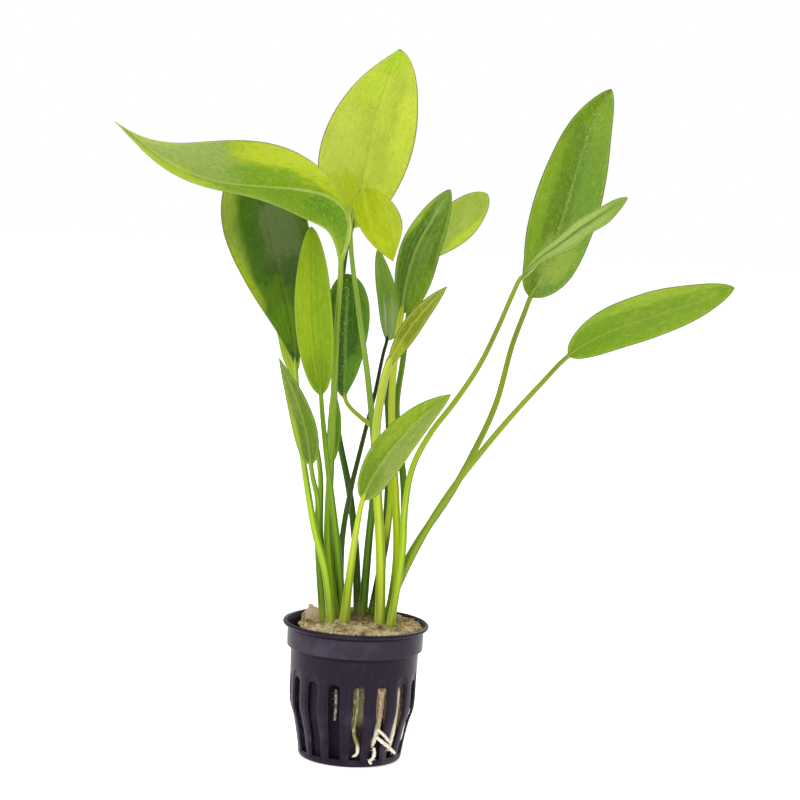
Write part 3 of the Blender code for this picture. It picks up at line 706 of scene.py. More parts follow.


# Leaves
# Each leaf grows from the crown as one piece: a ribbed juicy stalk that runs on under the blade as
# its midrib, and a thin blade with curved veins, a paler border and a thin rim. Seen from its face
# with its tip up, half widths are left then right, and patches lie from -1 at its left to 1. Some
# patches and right halves are the leaf's own tone, others painted light and shade: sheen, lit and
# shaded halves, shadow cast by other leaves. The dark feet of the stalks at the back are painted shade.
LEAVES = {
    "leaf_top": dict(
        stalk=[(0.5, 12), (-2, 16, 78), (-5.5, 20, 98.5), (-11, 22, 121), (-13, 23, 136),
               (-12.5, 26, 170.5), (-11, 28, 191.5)],
        blade=[(-9.5, 29, 198), (-7, 30, 212.5), (-4.5, 32, 227.5), (-1, 36, 247), (5, 42, 266.5)],
        half_width=(18.5, 16.5), shape=(0.6, 0.6, 1.0, 0.6), turn=(0, -4, -8), fold=6,
        stalk_width=(3.0, 1.5),
        green=(192, 206, 66), edge=(204, 216, 90), rim=(132, 142, 50),
        # painted shade: the dark foot of a stalk at the back of the crown
        stem=(70, 100, 26), foot=(60, 92, 26), rib=(0.6, 0.3),
        # painted shadow: the olive band low on the blade, where the arching leaf shades it
        patches=[(-0.62, 0.36, 0.6, 0.3, (196, 208, 84), 0.7),
                 (0.75, 0.45, 0.4, 0.5, (200, 215, 60), 0.5), (0, 0.97, 1, 0.13, (166, 204, 30), 0.8),
                 (-0.3, 0.19, 0.7, 0.12, (172, 186, 10), 0.9),
                 (-0.3, 0.76, 0.6, 0.14, (184, 208, 40), 0.6),
                 (-0.05, 0.05, 1, 0.09, (150, 160, 30), 0.6)]),
    "leaf_arching_left": dict(
        stalk=[(-7.6, -2.2), (-12, 0, 80), (-12.5, -1, 109), (-12.5, -5, 135.5), (-12.5, -10, 164.5),
               (-12, -13, 183)],
        blade=[(-12, -14, 187.5), (-10, -16, 196), (-9.5, -18, 202.5), (-12, -19, 208),
               (-17.5, -20, 211.5), (-28, -22, 213.5), (-41.5, -25, 214), (-56.5, -28, 215),
               (-73.5, -31, 220.5), (-94.5, -34, 235)],
        half_width=(15.5, 22), shape=(1.0, 3.2, 1.3, 3.0), turn=(5, 12, 62, 46, 40), fold=22, ease=9,
        stalk_width=(3.5, 1.8),
        green=(138, 174, 12), edge=(196, 212, 110), rim=(176, 192, 90),
        stem=(148, 178, 50), foot=(128, 164, 18), rib=(0.8, 0.7),
        # painted light and shade: grey sheen and a lit lime patch on the far half, darker shade on the near
        # half and at the base
        patches=[(0.6, 0.8, 0.9, 0.27, (160, 176, 100), 0.95),
                 (0.22, 0.64, 0.5, 0.15, (156, 174, 88), 0.85),
                 (0.78, 0.4, 0.5, 0.24, (192, 208, 36), 0.95),
                 (0.5, 0.26, 0.4, 0.14, (180, 198, 6), 0.8),
                 (0.25, 0.47, 0.32, 0.16, (120, 162, 4), 0.7),
                 (-0.55, 0.32, 0.75, 0.24, (118, 160, 8), 0.9),
                 (-0.6, 0.78, 0.8, 0.2, (182, 206, 44), 0.95),
                 (-0.35, 0.2, 0.45, 0.17, (84, 134, 8), 0.75)]),
    "leaf_nodding": dict(
        stalk=[(2, 8), (3, 8, 79), (4, 6, 108.5), (0.5, 1, 139), (-5, -3, 170), (-8.5, -4.5, 190),
               (-9.5, -4.5, 202), (-9, -5, 208)],
        blade=[(-7.5, -6, 213), (-6, -7.5, 215.5), (-4.5, -10.5, 210), (-2, -12.5, 202),
               (2, -14.5, 194), (7, -16, 189)],
        half_width=(12, 6), shape=(0.8, 0.5, 0.6, 1.3), turn=(-15, -10, 0), fold=8, ease=4,
        stalk_width=(3.2, 1.4),
        green=(176, 191, 10), edge=(200, 214, 50), rim=(150, 168, 40),
        # painted shade: the dark foot of a stalk at the back of the crown
        stem=(150, 184, 70), foot=(82, 118, 26), rib=(0.6, 0.7),
        patches=[(-0.8, 0.6, 0.35, 0.45, (170, 183, 50), 0.6), (0.1, 0.2, 0.6, 0.18, (166, 179, 4), 0.6)]),
    "leaf_broad_dark": dict(
        stalk=[(-9, -5.6), (-12.5, -6.5, 72), (-17, -8.5, 87), (-21.5, -8, 107.5), (-25, -7, 126),
               (-26.5, -6, 142)],
        blade=[(-27, -6, 147), (-30, -5, 164.5), (-35, -3, 183), (-41, 0, 202.5), (-46.5, 4, 226.5)],
        half_width=(16.5, 15), shape=(1.2, 1.0, 0.6, 0.6), turn=(6, 0, -6), fold=8,
        stalk_width=(3.2, 1.6),
        # its dark green is partly painted shade
        green=(63, 89, 10), edge=(92, 124, 40), rim=(78, 98, 30),
        stem=(160, 190, 58), foot=(152, 184, 38), rib=(0.6, 0.3),
        # painted light: a grey reflection in the middle, and light on the strip along the left margin
        patches=[(0.25, 0.6, 0.75, 0.26, (99, 107, 68), 0.95),
                 (-0.3, 0.66, 0.2, 0.18, (55, 85, 4), 0.7), (0.15, 0.4, 0.8, 0.13, (49, 67, 12), 0.7),
                 (-0.25, 0.32, 0.7, 0.12, (91, 119, 8), 0.7), (0, 0.18, 1.2, 0.14, (103, 137, 6), 0.7),
                 (-1.02, 0.68, 0.48, 0.52, (137, 151, 54), 0.95),
                 (-1, 0.44, 0.36, 0.2, (147, 167, 16), 0.95)]),
    "leaf_small_left": dict(
        stalk=[(-10.2, 1.2), (-15, 3, 81.5), (-16.5, 3.5, 108), (-21, 2, 126.5), (-26.5, 1.5, 138)],
        blade=[(-28, 2.5, 143.5), (-29.5, 5, 149.5), (-31.5, 9, 157), (-36.5, 13, 167.5)],
        half_width=(3.4, 4.2), shape=(0.6, 0.5, 0.7, 0.7), turn=(0, 0, 0), fold=10,
        stalk_width=(2.7, 1.4),
        green=(184, 206, 54), edge=(200, 216, 90), rim=(120, 150, 40),
        stem=(150, 186, 50), foot=(96, 136, 24), rib=(0.5, 0.4),
        patches=[(0.3, 0.4, 0.9, 0.45, (184, 206, 66), 0.8)]),
    "leaf_bright_upright": dict(
        stalk=[(-5.6, 1.2), (-6.5, 1, 63), (-8.5, -1.5, 80), (-11, -4.5, 96.5), (-14, -9, 115.5),
               (-16.5, -12, 133.5)],
        blade=[(-17, -13, 138.5), (-19.5, -15, 155), (-21.5, -16, 171.5), (-22.5, -15, 187),
               (-23.5, -13, 200)],
        half_width=(6.8, 7.2), shape=(0.5, 0.5, 0.6, 0.6), turn=(6, 0, -6), fold=8,
        stalk_width=(3.2, 1.6),
        green=(133, 165, 4), edge=(166, 192, 56), rim=(150, 180, 70),
        stem=(120, 156, 24), foot=(104, 142, 20), rib=(0.6, 0.2),
        # painted shade: the darker patch on its right half, which is turned from the light
        patches=[(-0.6, 0.6, 0.4, 0.6, (151, 179, 14), 0.7),
                 (0.6, 0.45, 0.5, 0.6, (121, 155, 4), 0.6), (0, 0.08, 1.2, 0.2, (107, 141, 4), 0.8),
                 (-0.25, 0.5, 0.16, 0.6, (153, 173, 6), 0.7)]),
    "leaf_dark_oval": dict(
        stalk=[(5.2, 11), (8, 11, 69.5), (10, 10, 85.5), (10, 9.5, 105), (4, 10, 122.5), (-2.5, 9.5, 128),
               (-6.5, 9, 131.5)],
        blade=[(-8.5, 8, 135), (-9, 8, 146.5), (-9.5, 7.5, 158.5), (-9.5, 7, 170.5), (-10, 7, 182)],
        half_width=(8.6, 9.0), shape=(0.7, 0.9, 0.5, 0.5), turn=(0, 0, 0), fold=12,
        stalk_width=(3.2, 1.5),
        green=(68, 98, 20), edge=(126, 164, 74), rim=(84, 112, 40),
        # painted shade: the dark foot of a stalk at the back of the crown
        stem=(172, 190, 28), foot=(58, 88, 26), changes=(0.28, 0.42), rib=(0.9, 0.75), veins=0.35, glints=0.6,
        patches=[(-0.6, 0.6, 0.6, 0.5, (50, 82, 8), 0.8), (0.8, 0.6, 0.3, 0.5, (108, 146, 44), 0.5),
                 (0.5, 0.18, 0.8, 0.22, (116, 156, 48), 0.7)]),
    "leaf_low_left": dict(
        stalk=[(-11.8, -2.4), (-15, -2.5, 74.5), (-16, -4, 86.5), (-16.5, -8, 98.5), (-18.5, -12, 107)],
        blade=[(-19.5, -14, 112.5), (-21.5, -18, 124), (-25.5, -23, 137), (-32.5, -27, 153)],
        half_width=(4.6, 4.6), shape=(0.5, 0.5, 1.0, 1.0), turn=(0, 0, 0), fold=12,
        stalk_width=(3.4, 1.6),
        green=(108, 129, 36), edge=(150, 178, 80), rim=(104, 128, 50),
        stem=(122, 156, 34), foot=(94, 128, 22), rib=(0.6, 0.4),
        patches=[(-0.9, 0.4, 0.4, 0.45, (168, 189, 44), 0.8), (0.5, 0.35, 0.6, 0.35, (90, 119, 4), 0.8),
                 (-0.4, 0.7, 0.7, 0.35, (124, 139, 58), 0.6)]),
    "leaf_front": dict(
        stalk=[(-4.6, -6), (-3.6, -8, 65), (-2.5, -14, 79), (-1, -22, 93)],
        blade=[(0.5, -27, 102.5), (5, -34, 114), (12, -42, 126), (20, -49, 136.5), (30, -55, 146)],
        half_width=(6.6, 7.2), shape=(0.55, 0.5, 0.75, 0.75), turn=(-15, -15, -15), fold=14,
        stalk_width=(3.5, 1.8),
        # painted light and shade: the paler, greyer right half is painted light, the dark patch at the base
        # painted shade
        green=(112, 138, 8), right=(134, 148, 68), edge=(166, 190, 80), rim=(104, 122, 40),
        stem=(176, 192, 46), foot=(160, 184, 40), rib=(0.6, 0.5),
        patches=[(-0.5, 0.65, 0.5, 0.4, (138, 162, 28), 0.7),
                 (-0.1, 0.12, 1.1, 0.22, (96, 126, 4), 0.8)]),
    "leaf_yellow_right": dict(
        stalk=[(9, -4.6), (8, -5, 76.5), (5.5, -8, 103.5), (4, -12, 126), (5.5, -17, 142.5)],
        blade=[(7.5, -20, 152), (12, -23, 161.5), (18, -26, 171), (27, -30, 182)],
        half_width=(3.4, 4), shape=(0.8, 0.6, 0.8, 0.9), turn=(-10, -10, -10), fold=14,
        stalk_width=(3.7, 3.0),
        green=(124, 131, 6), edge=(184, 196, 80), rim=(86, 84, 52),
        stem=(176, 192, 60), foot=(170, 190, 40), rib=(0.5, 0.5),
        patches=[(0.2, 0.9, 1.5, 0.28, (120, 132, 48), 0.85), (0, 0.12, 1.2, 0.2, (164, 177, 38), 0.6)]),
    "leaf_narrow_dark": dict(
        stalk=[(-6, 8.2), (-7, 9.5, 80.5), (-4.5, 12, 101), (-2.5, 14, 111.5), (0, 17, 124),
               (2.5, 20.5, 136), (4, 23.5, 145.5), (5, 25, 151.5)],
        blade=[(6, 26, 156), (6, 27.5, 162), (5.5, 29, 170), (3.5, 32, 180.5), (1, 35, 190.5)],
        half_width=(3.8, 4.6), shape=(0.6, 0.35, 0.6, 0.9), turn=(0, 0, 0), fold=10,
        stalk_width=(2.5, 1.2),
        green=(132, 161, 58), edge=(150, 172, 100), rim=(84, 104, 46),
        stem=(44, 58, 22), foot=(70, 104, 30), rib=(0.5, 0.5), veins=0.5,
        # painted sheen: the pale grey stripes near the base
        patches=[(0, 0.12, 1.4, 0.34, (176, 189, 122), 0.55),
                 (-0.6, 0.5, 0.5, 0.4, (122, 153, 62), 0.6),
                 (-0.35, 0.2, 0.16, 0.36, (196, 190, 182), 0.8),
                 (0.4, 0.24, 0.14, 0.34, (176, 172, 158), 0.7)]),
    "leaf_right_inner": dict(
        stalk=[(12, 1.4), (14, 1, 75.5), (12.5, 4, 98), (10, 7, 120.5), (9, 9, 138.5),
               (10, 11, 159.5)],
        blade=[(11, 12, 168), (12.5, 13, 180.5), (15.5, 14, 192.5), (20.5, 15, 203), (27, 17, 215)],
        half_width=(6.2, 9.6), shape=(0.75, 0.45, 0.7, 0.75), turn=(0, 0, 0), fold=10,
        stalk_width=(3.3, 2.2),
        green=(87, 115, 10), edge=(156, 184, 96), rim=(84, 108, 34),
        stem=(186, 200, 50), foot=(168, 190, 14), rib=(0.7, 0.65), veins=0.75,
        # painted sheen: the grey patches at the tip and in the middle
        patches=[(-0.05, 0.9, 0.8, 0.16, (121, 145, 64), 0.8),
                 (-1, 0.72, 0.45, 0.26, (145, 175, 18), 0.9), (0.6, 0.2, 0.8, 0.24, (117, 147, 16), 0.7),
                 (0.3, 0.44, 0.4, 0.28, (109, 135, 54), 0.6), (-0.4, 0.5, 0.45, 0.26, (63, 91, 4), 0.6)]),
    "leaf_right_behind": dict(
        stalk=[(11.5, 8.4), (15, 9, 74), (16, 12, 91), (15, 15, 104), (12.5, 18, 119), (11, 21, 132),
               (12.5, 24, 149), (13.5, 27, 164), (15, 29.5, 175)],
        blade=[(19.5, 32, 187.5), (24.5, 36, 194.5), (32.5, 42, 202), (42, 48, 212.5)],
        half_width=(8.8, 6.8), shape=(0.45, 0.6, 0.55, 0.6), turn=(0, 0, 0), fold=8,
        stalk_width=(3.1, 1.8),
        green=(180, 198, 81), edge=(190, 208, 110), rim=(84, 104, 40),
        stem=(104, 140, 28), foot=(84, 122, 28), rib=(0.6, 0.4),
        patches=[(0.8, 0.45, 0.4, 0.4, (202, 222, 51), 0.85), (-0.75, 0.8, 0.35, 0.3, (160, 182, 59), 0.6)]),
    "leaf_tall_right": dict(
        stalk=[(12.4, 5), (13.6, 4.8, 62), (16.3, 4.5, 71), (22.5, 6, 83.5), (33, 9, 100.5),
               (41, 12, 116.5), (48.5, 15, 135), (53.5, 17, 157.5), (57.5, 18, 170)],
        blade=[(59.5, 19, 176), (65.5, 20, 188.5), (69, 21, 202.5), (74, 24, 222.5), (78.5, 27, 239),
               (86, 30, 255.5)],
        half_width=(12.6, 12.8), shape=(0.5, 0.5, 0.7, 0.7), turn=(0, 0, 0), fold=8,
        stalk_width=(3.3, 1.7),
        # painted sheen: the greyer right half
        green=(105, 131, 24), right=(111, 139, 60), edge=(146, 176, 70), rim=(72, 92, 30),
        stem=(134, 156, 30), foot=(122, 146, 26), rib=(0.7, 0.45), glints=0.4,
        patches=[(-0.78, 0.42, 0.35, 0.42, (132, 162, 32), 0.6),
                 (0.2, 0.2, 0.8, 0.16, (153, 169, 68), 0.75),
                 (0.3, 0.86, 0.8, 0.15, (129, 153, 40), 0.6),
                 (0.55, 0.55, 0.4, 0.35, (109, 137, 28), 0.5),
                 (0, 0.5, 0.28, 0.45, (85, 115, 16), 0.6)]),
    "leaf_edgewise_right": dict(
        stalk=[(12.6, -6.4), (16, -7, 81), (16, -7.5, 95.5), (18, -8, 112), (24, -8.5, 125.5),
               (32.5, -9, 138), (40.5, -9.5, 151.5), (46.5, -10, 165.5), (51.5, -10.5, 179)],
        blade=[(54, -11, 185), (60.5, -12, 192.5), (68.5, -14, 199), (76, -16, 205.5), (83, -19, 211),
               (90.5, -22, 217)],
        half_width=(7.5, 10), shape=(1.0, 1.1, 0.7, 0.6), turn=(-70, -70, -70), fold=2,
        stalk_width=(2.9, 1.5),
        green=(153, 180, 75), edge=(180, 200, 112), rim=(66, 90, 32),
        stem=(138, 162, 32), foot=(156, 184, 32), rib=(0.6, -0.75), veins=0.45,
        patches=[(-0.5, 0.5, 0.35, 0.5, (179, 200, 101), 0.7),
                 (0.45, 0.55, 0.3, 0.45, (173, 196, 95), 0.6),
                 (0, 0.94, 1.4, 0.18, (133, 162, 33), 0.7), (0, 0.42, 0.16, 0.6, (96, 122, 44), 0.8),
                 (-0.95, 0.5, 0.16, 0.7, (96, 120, 44), 0.8)]),
    "leaf_far_right": dict(
        stalk=[(12.4, -2.4), (13.6, -2.8, 62), (16.3, -3.4, 70.5), (26, -6, 92), (35.5, -10, 109),
               (42.5, -13, 119.5), (52, -17, 133), (63, -22, 147.5)],
        blade=[(72.5, -26, 159), (85, -30, 168), (100, -35, 175), (115.5, -40, 181.5),
               (128.5, -44, 188)],
        half_width=(9.2, 8), shape=(0.55, 0.5, 0.65, 0.65), turn=(-14, -14, -14), fold=14,
        stalk_width=(3.2, 1.6),
        green=(124, 152, 30), edge=(160, 186, 76), rim=(76, 98, 32),
        stem=(136, 158, 30), foot=(120, 146, 26), rib=(0.6, 0.4), veins=0.35,
        patches=[(0.1, 0.16, 1.3, 0.24, (106, 140, 4), 0.9),
                 (-0.78, 0.55, 0.3, 0.45, (150, 172, 50), 0.6), (0.7, 0.5, 0.4, 0.45, (120, 150, 26), 0.5)]),
    "leaf_short_middle": dict(
        stalk=[(-8, 4.8), (-11, 6, 81), (-12.5, 5, 100.5)],
        blade=[(-13, 4, 109), (-12, 3.5, 119.5), (-12, 2.5, 129), (-13, 1.5, 138.5)],
        half_width=(2.6, 2.8), shape=(0.5, 0.5, 0.6, 0.6), turn=(0, 0, 0), fold=10,
        stalk_width=(2.7, 1.5),
        green=(92, 125, 4), edge=(150, 186, 60), rim=(90, 120, 30),
        stem=(120, 162, 40), foot=(80, 116, 30), rib=(0.5, 0.4),
        patches=[]),
    "leaf_young_spear": dict(
        stalk=[(8.5, 14.5), (9, 15, 80.5), (9, 15, 103.5), (8, 14, 125)],
        blade=[(7.5, 14, 130.5), (7.5, 14, 137.5), (8.5, 15, 146), (11, 15, 153.5)],
        half_width=(1.5, 1.5), shape=(0.4, 0.4, 0.6, 0.6), turn=(0, 0, 0), fold=10,
        stalk_width=(2.6, 1.6),
        green=(84, 122, 42), edge=(110, 150, 70), rim=(76, 100, 40),
        stem=(74, 104, 34), foot=(58, 88, 30), rib=(0.4, 0.4),
        patches=[]),
}
BLADE_ROWS = 96
BLADE_COLUMNS = 19              # on each side of the midrib
BLADE_THICKNESS = (0.44, 0.20)  # at the midrib and near the margin
GROOVE = (0.16, 0.5)            # depth and width of the furrow over the midrib
QUILT = 0.10                    # how far the blade swells between its long veins
LONG_VEINS = 3.5                # on each side, counting the margin as half
WAVE = 0.055                    # the margin's waves, as a share of the half width
VEINS = 0.2                     # how plain the long veins are, where a leaf gives no value
VEIN_SPACING = 1.9              # between cross veins, along the blade
STALK_ROWS = 110                # of which the stem below the blade has
STEM_ROWS = 70
STALK_SIDES = 15
STALK_RIBS = 5
STALK_PALE = (0.55, 0.62, 0.10, 1.0)
SUNK = 3.0                      # how far the stalks start below the wool's top
TIP_BROWN = (0.10, 0.055, 0.02, 1.0)
LEAF_GLINT = (0.52, 0.64, 0.32, 1.0)


def shade(red, green, blue):
    """A linear colour from the three values, 0 to 255, that it has on a screen."""
    return tuple(((c / 255 + 0.055) / 1.055) ** 2.4 for c in (red, green, blue)) + (1.0,)


def tinted(colour, factor):
    """A linear colour made darker or lighter."""
    return tuple(min(1.0, value * factor) for value in colour[:3]) + (1.0,)


def side_width(along, half_width, fill, tip):
    """The blade's half width: it fills out from the base, is widest once and runs to a point."""
    widest = fill / (fill + tip)
    peak = widest ** fill * (1 - widest) ** tip
    return half_width * along ** fill * (1 - along) ** tip / peak


def leaf_paths(leaf):
    """Fine paths along the stalk and along the blade, on one curve from the wool to the tip."""
    x, y = leaf["stalk"][0]
    points = [(x, y, wool_height(x, y) - SUNK)] + leaf["stalk"][1:] + leaf["blade"]
    path = smooth_path(points)
    start = np.argmin(np.linalg.norm(path - np.array(leaf["blade"][0], float), axis=1))
    return path[:start + 1], path[start:]


def eased(rings, across, points, ease):
    """Smooths the rings' outer points along the blade, so that they don't cross inside a bend."""
    rings = np.array(rings)
    spacing = lengths(points)[-1] / (len(points) - 1)
    share = 0.5 * np.abs(across)[:, None]
    for _ in range(round(2 * (ease / spacing) ** 2)):
        rings[1:-1] += share * ((rings[:-2] + rings[2:]) / 2 - rings[1:-1])
    return rings


def blade_rings(path, leaf, rng):
    """Rings across the blade, each point's shares, half width and face, and the rings' places along."""
    along = np.linspace(0, 1, BLADE_ROWS)
    along = 0.55 * along + 0.45 * (0.5 - 0.5 * np.cos(np.pi * along))
    points = resample(path, along)
    side, normal = directions(points, leaf["turn"])
    fill_left, fill_right, tip_left, tip_right = leaf["shape"]
    base = leaf["stalk_width"][1] / 2 + 0.1
    least = np.interp(along, (0, 0.5, 1), (base, 0.3, 0.02))
    left = np.maximum(side_width(along, leaf["half_width"][0], fill_left, tip_left), least)
    right = np.maximum(side_width(along, leaf["half_width"][1], fill_right, tip_right), least)
    rise, reach = math.sin(math.radians(leaf["fold"])), math.cos(math.radians(leaf["fold"]))
    half = np.linspace(0, 1, BLADE_COLUMNS + 1) ** 1.25
    across = np.concatenate([-half[:0:-1], half])
    share = np.concatenate([across, across[-2:0:-1]])
    upper = np.concatenate([np.ones(len(across)), -np.ones(len(across) - 2)])
    upper[[0, len(across) - 1]] = 0
    waves = [rng.uniform(1.6, 2.6), rng.uniform(1.6, 2.6)]
    phases = [rng.uniform(0, 6), rng.uniform(0, 6)]
    ends = np.clip(np.minimum(along * 6, (1 - along) * 5), 0, 1)
    rings, ring_data = [], []
    for row, (v, p, s, n) in enumerate(zip(along, points, side, normal)):
        width = np.where(share < 0, left[row], right[row])
        wave = np.where(share < 0, np.sin(waves[0] * 6.28 * v + phases[0]),
                        np.sin(waves[1] * 6.28 * v + phases[1]))
        size = np.abs(share)
        lift = width * rise * (np.sqrt(size ** 2 + 0.004) - 0.063)
        lift += WAVE * width * size ** 2.2 * wave * ends[row]
        lift += QUILT * ends[row] * np.abs(np.sin(np.pi * size * LONG_VEINS)) * (1 - size ** 4)
        lift -= GROOVE[0] * np.exp(-(width * size / GROOVE[1]) ** 2) * (1 - v)
        thick = np.interp(size, (0, 1), BLADE_THICKNESS) / 2 * (1 - 0.5 * v)
        lift += thick * upper
        rings.append([p + u * w * reach * s + h * n for u, w, h in zip(share, width, lift)])
        for u, w, face in zip(share, width, upper):
            ring_data.append((u, v, w, face))
    rings = eased(rings, share, points, leaf.get("ease", 0))
    return rings, ring_data, lengths(points)


def set_attribute(mesh, name, values):
    """Stores a vector at each point of the mesh, for its material to read."""
    attribute = mesh.attributes.new(name, "FLOAT_VECTOR", "POINT")
    attribute.data.foreach_set("vector", np.asarray(values, np.float32).ravel())


def blade_material(name, leaf):
    """Mottled green in patches, with pale veins and border, a thin rim and, on two leaves, glints."""
    made, place = new_material(name + "_green", {"Roughness": 0.4, "Specular IOR Level": 0.16,
                                                 "Subsurface Weight": 0.12,
                                                 "Subsurface Radius": (0.5, 1.0, 0.15),
                                                 "Subsurface Scale": 0.002})
    blade = place.node("Attribute", {"attribute_name": "blade"}, {}, "Vector")
    sheet = place.node("Attribute", {"attribute_name": "sheet_mm"}, {}, "Vector")
    share, along, face = blade.axis(0), blade.axis(1), blade.axis(2)
    size = abs(share)
    from_rib, run, from_margin = abs(sheet.axis(0)), sheet.axis(1), sheet.axis(2)
    mottle = sheet.noise(9.0, 2.0, (1, 0.6, 0))
    warp = sheet.noise(4.0, 1.0, (1, 1, 0))
    fine = sheet.noise(1.1, 2.0, (1, 0.6, 0))
    veins = abs((size * (LONG_VEINS * math.pi)).sine()).step(0.16, 0.0) * size.step(0.08, 0.16)
    slant = (run + from_rib * 0.9 + warp * 2.5) * (2 * math.pi / VEIN_SPACING)
    cross = slant.sine().step(0.80, 1.0) * size.step(0.05, 0.15) * size.step(1.0, 0.9)
    cells = sheet.node("TexVoronoi", {"feature": "DISTANCE_TO_EDGE"},
                       {"Vector": sheet, "Scale": 1.5}).step(0.02, 0.22)
    rib_width, rib_strength = leaf["rib"]
    rib = from_rib.step(rib_width, rib_width * 0.3) * along.step(1.0, 0.75)
    green, edge = shade(*leaf["green"]), shade(*leaf["edge"])
    colour = mottle.step(0.3, 0.7).pick(tinted(green, 0.76), tinted(green, 0.98))
    wander_u, wander_v = (mottle - 0.5) * 0.45, (warp - 0.5) * 0.16
    # a right half's colour and the patches: partly the leaf's own tone, partly painted light and shade
    if "right" in leaf:
        colour = (share.step(-0.03, 0.05) * 0.85).pick(colour, shade(*leaf["right"]))
    for u, v, reach_u, reach_v, tint, strength in leaf["patches"]:
        off_u, off_v = (share + wander_u - u) * (1 / reach_u), (along + wander_v - v) * (1 / reach_v)
        near = (off_u * off_u + off_v * off_v).step(1.0, 0.15)
        colour = (near * strength).pick(colour, shade(*tint))
    colour = (fine.step(0.35, 0.75) * 0.13).pick(colour, edge)
    flecks = sheet.noise(1.3, 3.0, (1, 0.5, 0))
    colour = (flecks.step(0.54, 0.68) * 0.26).pick(colour, edge)
    colour = (flecks.step(0.46, 0.32) * 0.28).pick(colour, tinted(green, 0.7))
    colour = (cross * 0.11).pick(colour, edge)
    colour = (veins * leaf.get("veins", VEINS)).pick(colour, edge)
    colour = (from_margin.step(1.3, 0.6) * 0.3).pick(colour, edge)
    colour = (from_margin.step(0.5, 0.15) * 0.8).pick(colour, shade(*leaf["rim"]))
    colour = (rib * abs(rib_strength)).pick(colour, edge if rib_strength > 0 else tinted(green, 0.5))
    if "glints" in leaf:
        dots = sheet.noise(0.9, 1.0, (1, 1, 0)).step(0.60, 0.70) * from_rib.step(2.6, 0.9)
        colour = (dots * leaf["glints"]).pick(colour, LEAF_GLINT)
    colour = (face.step(-0.2, -0.9) * 0.22).pick(colour, tinted(edge, 0.75))
    colour = along.step(0.985, 1.0).pick(colour, TIP_BROWN)
    colour.drive("Base Color")
    (0.34 + mottle * 0.14 + veins * 0.06).drive("Roughness")
    (cells * 0.35 - cross * 0.3 - veins * 0.45 + mottle * 1.1).raise_surface(0.00018)
    return made


def make_blade(name, leaf, path, rng):
    """The blade, with its shares across and along and its millimetres stored for its material."""
    rings, data, run = blade_rings(path, leaf, rng)
    piece = add_piece(name.replace("leaf_", "") + "_blade", loft(rings),
                      blade_material(name, leaf), [name + "_blade"])
    count = len(rings[0])
    set_attribute(piece.data, "blade", [(u, v, face) for u, v, _, face in data])
    set_attribute(piece.data, "sheet_mm",
                  [(u * width, run[index // count], (1 - abs(u)) * width)
                   for index, (u, _, width, _) in enumerate(data)])


def stalk_material(name, leaf, length):
    """Juicy and streaked lengthwise, partly with painted shade and highlights: the foot's colour, then the
    stem's, and the edge's as a midrib.
    """
    made, place = new_material(name + "_stem", {"Roughness": 0.35, "Specular IOR Level": 0.2,
                                                "Subsurface Weight": 0.15,
                                                "Subsurface Radius": (0.6, 1.0, 0.2),
                                                "Subsurface Scale": 0.0015})
    stem = place.node("Attribute", {"attribute_name": "stem"}, {}, "Vector")
    run = stem.axis(2)
    streak = stem.noise(0.55, 2.0, (1, 1, 0.010))
    painted_highlight = stem.noise(0.8, 1.0, (1, 1, 0.016))
    blotch = stem.noise(1.0, 2.0, (1, 1, 0.05))
    foot, green = shade(*leaf["foot"]), shade(*leaf["stem"])
    low, high = leaf.get("changes", (0.25, 0.75))
    upward = run.step(length * low, length * high)
    colour = upward.pick(foot, green)
    # dark streaks: partly the stalk's own streaking, partly painted shade
    colour = streak.step(0.52, 0.36).pick(colour, upward.pick(tinted(foot, 0.5), tinted(green, 0.55)))
    # painted highlights: lighter copies of the colours in lengthwise gleams
    bright = upward.pick(tinted(foot, 1.4), tinted(green, 1.25))
    colour = (painted_highlight.step(0.52, 0.68) * 0.7).pick(colour, bright)
    colour = (blotch.step(0.55, 0.8) * 0.2).pick(colour, STALK_PALE)
    colour = (run.step(9.0, 0.5) * 0.35).pick(colour, STALK_PALE)
    colour = run.step(length, length + 9.0).pick(colour, shade(*leaf["edge"]))
    colour.drive("Base Color")
    (0.30 + blotch * 0.16).drive("Roughness")
    streak.raise_surface(0.00018)
    return made


def make_stalk(name, leaf, stalk_path, blade_path):
    """The stalk from inside the wool to the blade, and on under it as the midrib."""
    whole = np.vstack([stalk_path, blade_path[1:]])
    stem_share = lengths(stalk_path)[-1] / lengths(whole)[-1]
    shares = np.concatenate([np.linspace(0, stem_share, STEM_ROWS, endpoint=False),
                             np.linspace(stem_share, 0.985, STALK_ROWS - STEM_ROWS)])
    points = resample(whole, shares)
    wide, narrow = leaf["stalk_width"]
    on_blade = np.clip((shares - stem_share) / (1 - stem_share), 0, 1)
    run = shares * lengths(whole)[-1] - SUNK
    radii = np.interp(shares, (0, stem_share, 1), (wide / 2, narrow / 2, narrow / 2))
    radii = radii * (1 + 0.16 * np.exp(-run.clip(0) / 6)) * (1 - on_blade) ** 0.85 + 0.03
    rows = np.linspace(0, 1, BLADE_ROWS)
    _, blade_normal = directions(resample(blade_path, rows), leaf["turn"])
    under = np.stack([np.interp(on_blade, rows, blade_normal[:, axis]) for axis in range(3)], axis=1)
    sink = ((radii * 1.07 + 0.12) * np.clip(on_blade * 14, 0, 1))[:, None]
    rings = tube_rings(points - sink * unit(under), radii, STALK_SIDES, STALK_RIBS, 0.07)
    piece = add_piece(name.replace("leaf_", "") + "_stalk", loft(rings),
                      stalk_material(name, leaf, lengths(stalk_path)[-1] - SUNK),
                      [name + "_stalk"])
    turns = np.arange(STALK_SIDES) * 2 * math.pi / STALK_SIDES
    set_attribute(piece.data, "stem", [(math.cos(a), math.sin(a), at) for at in run for a in turns])


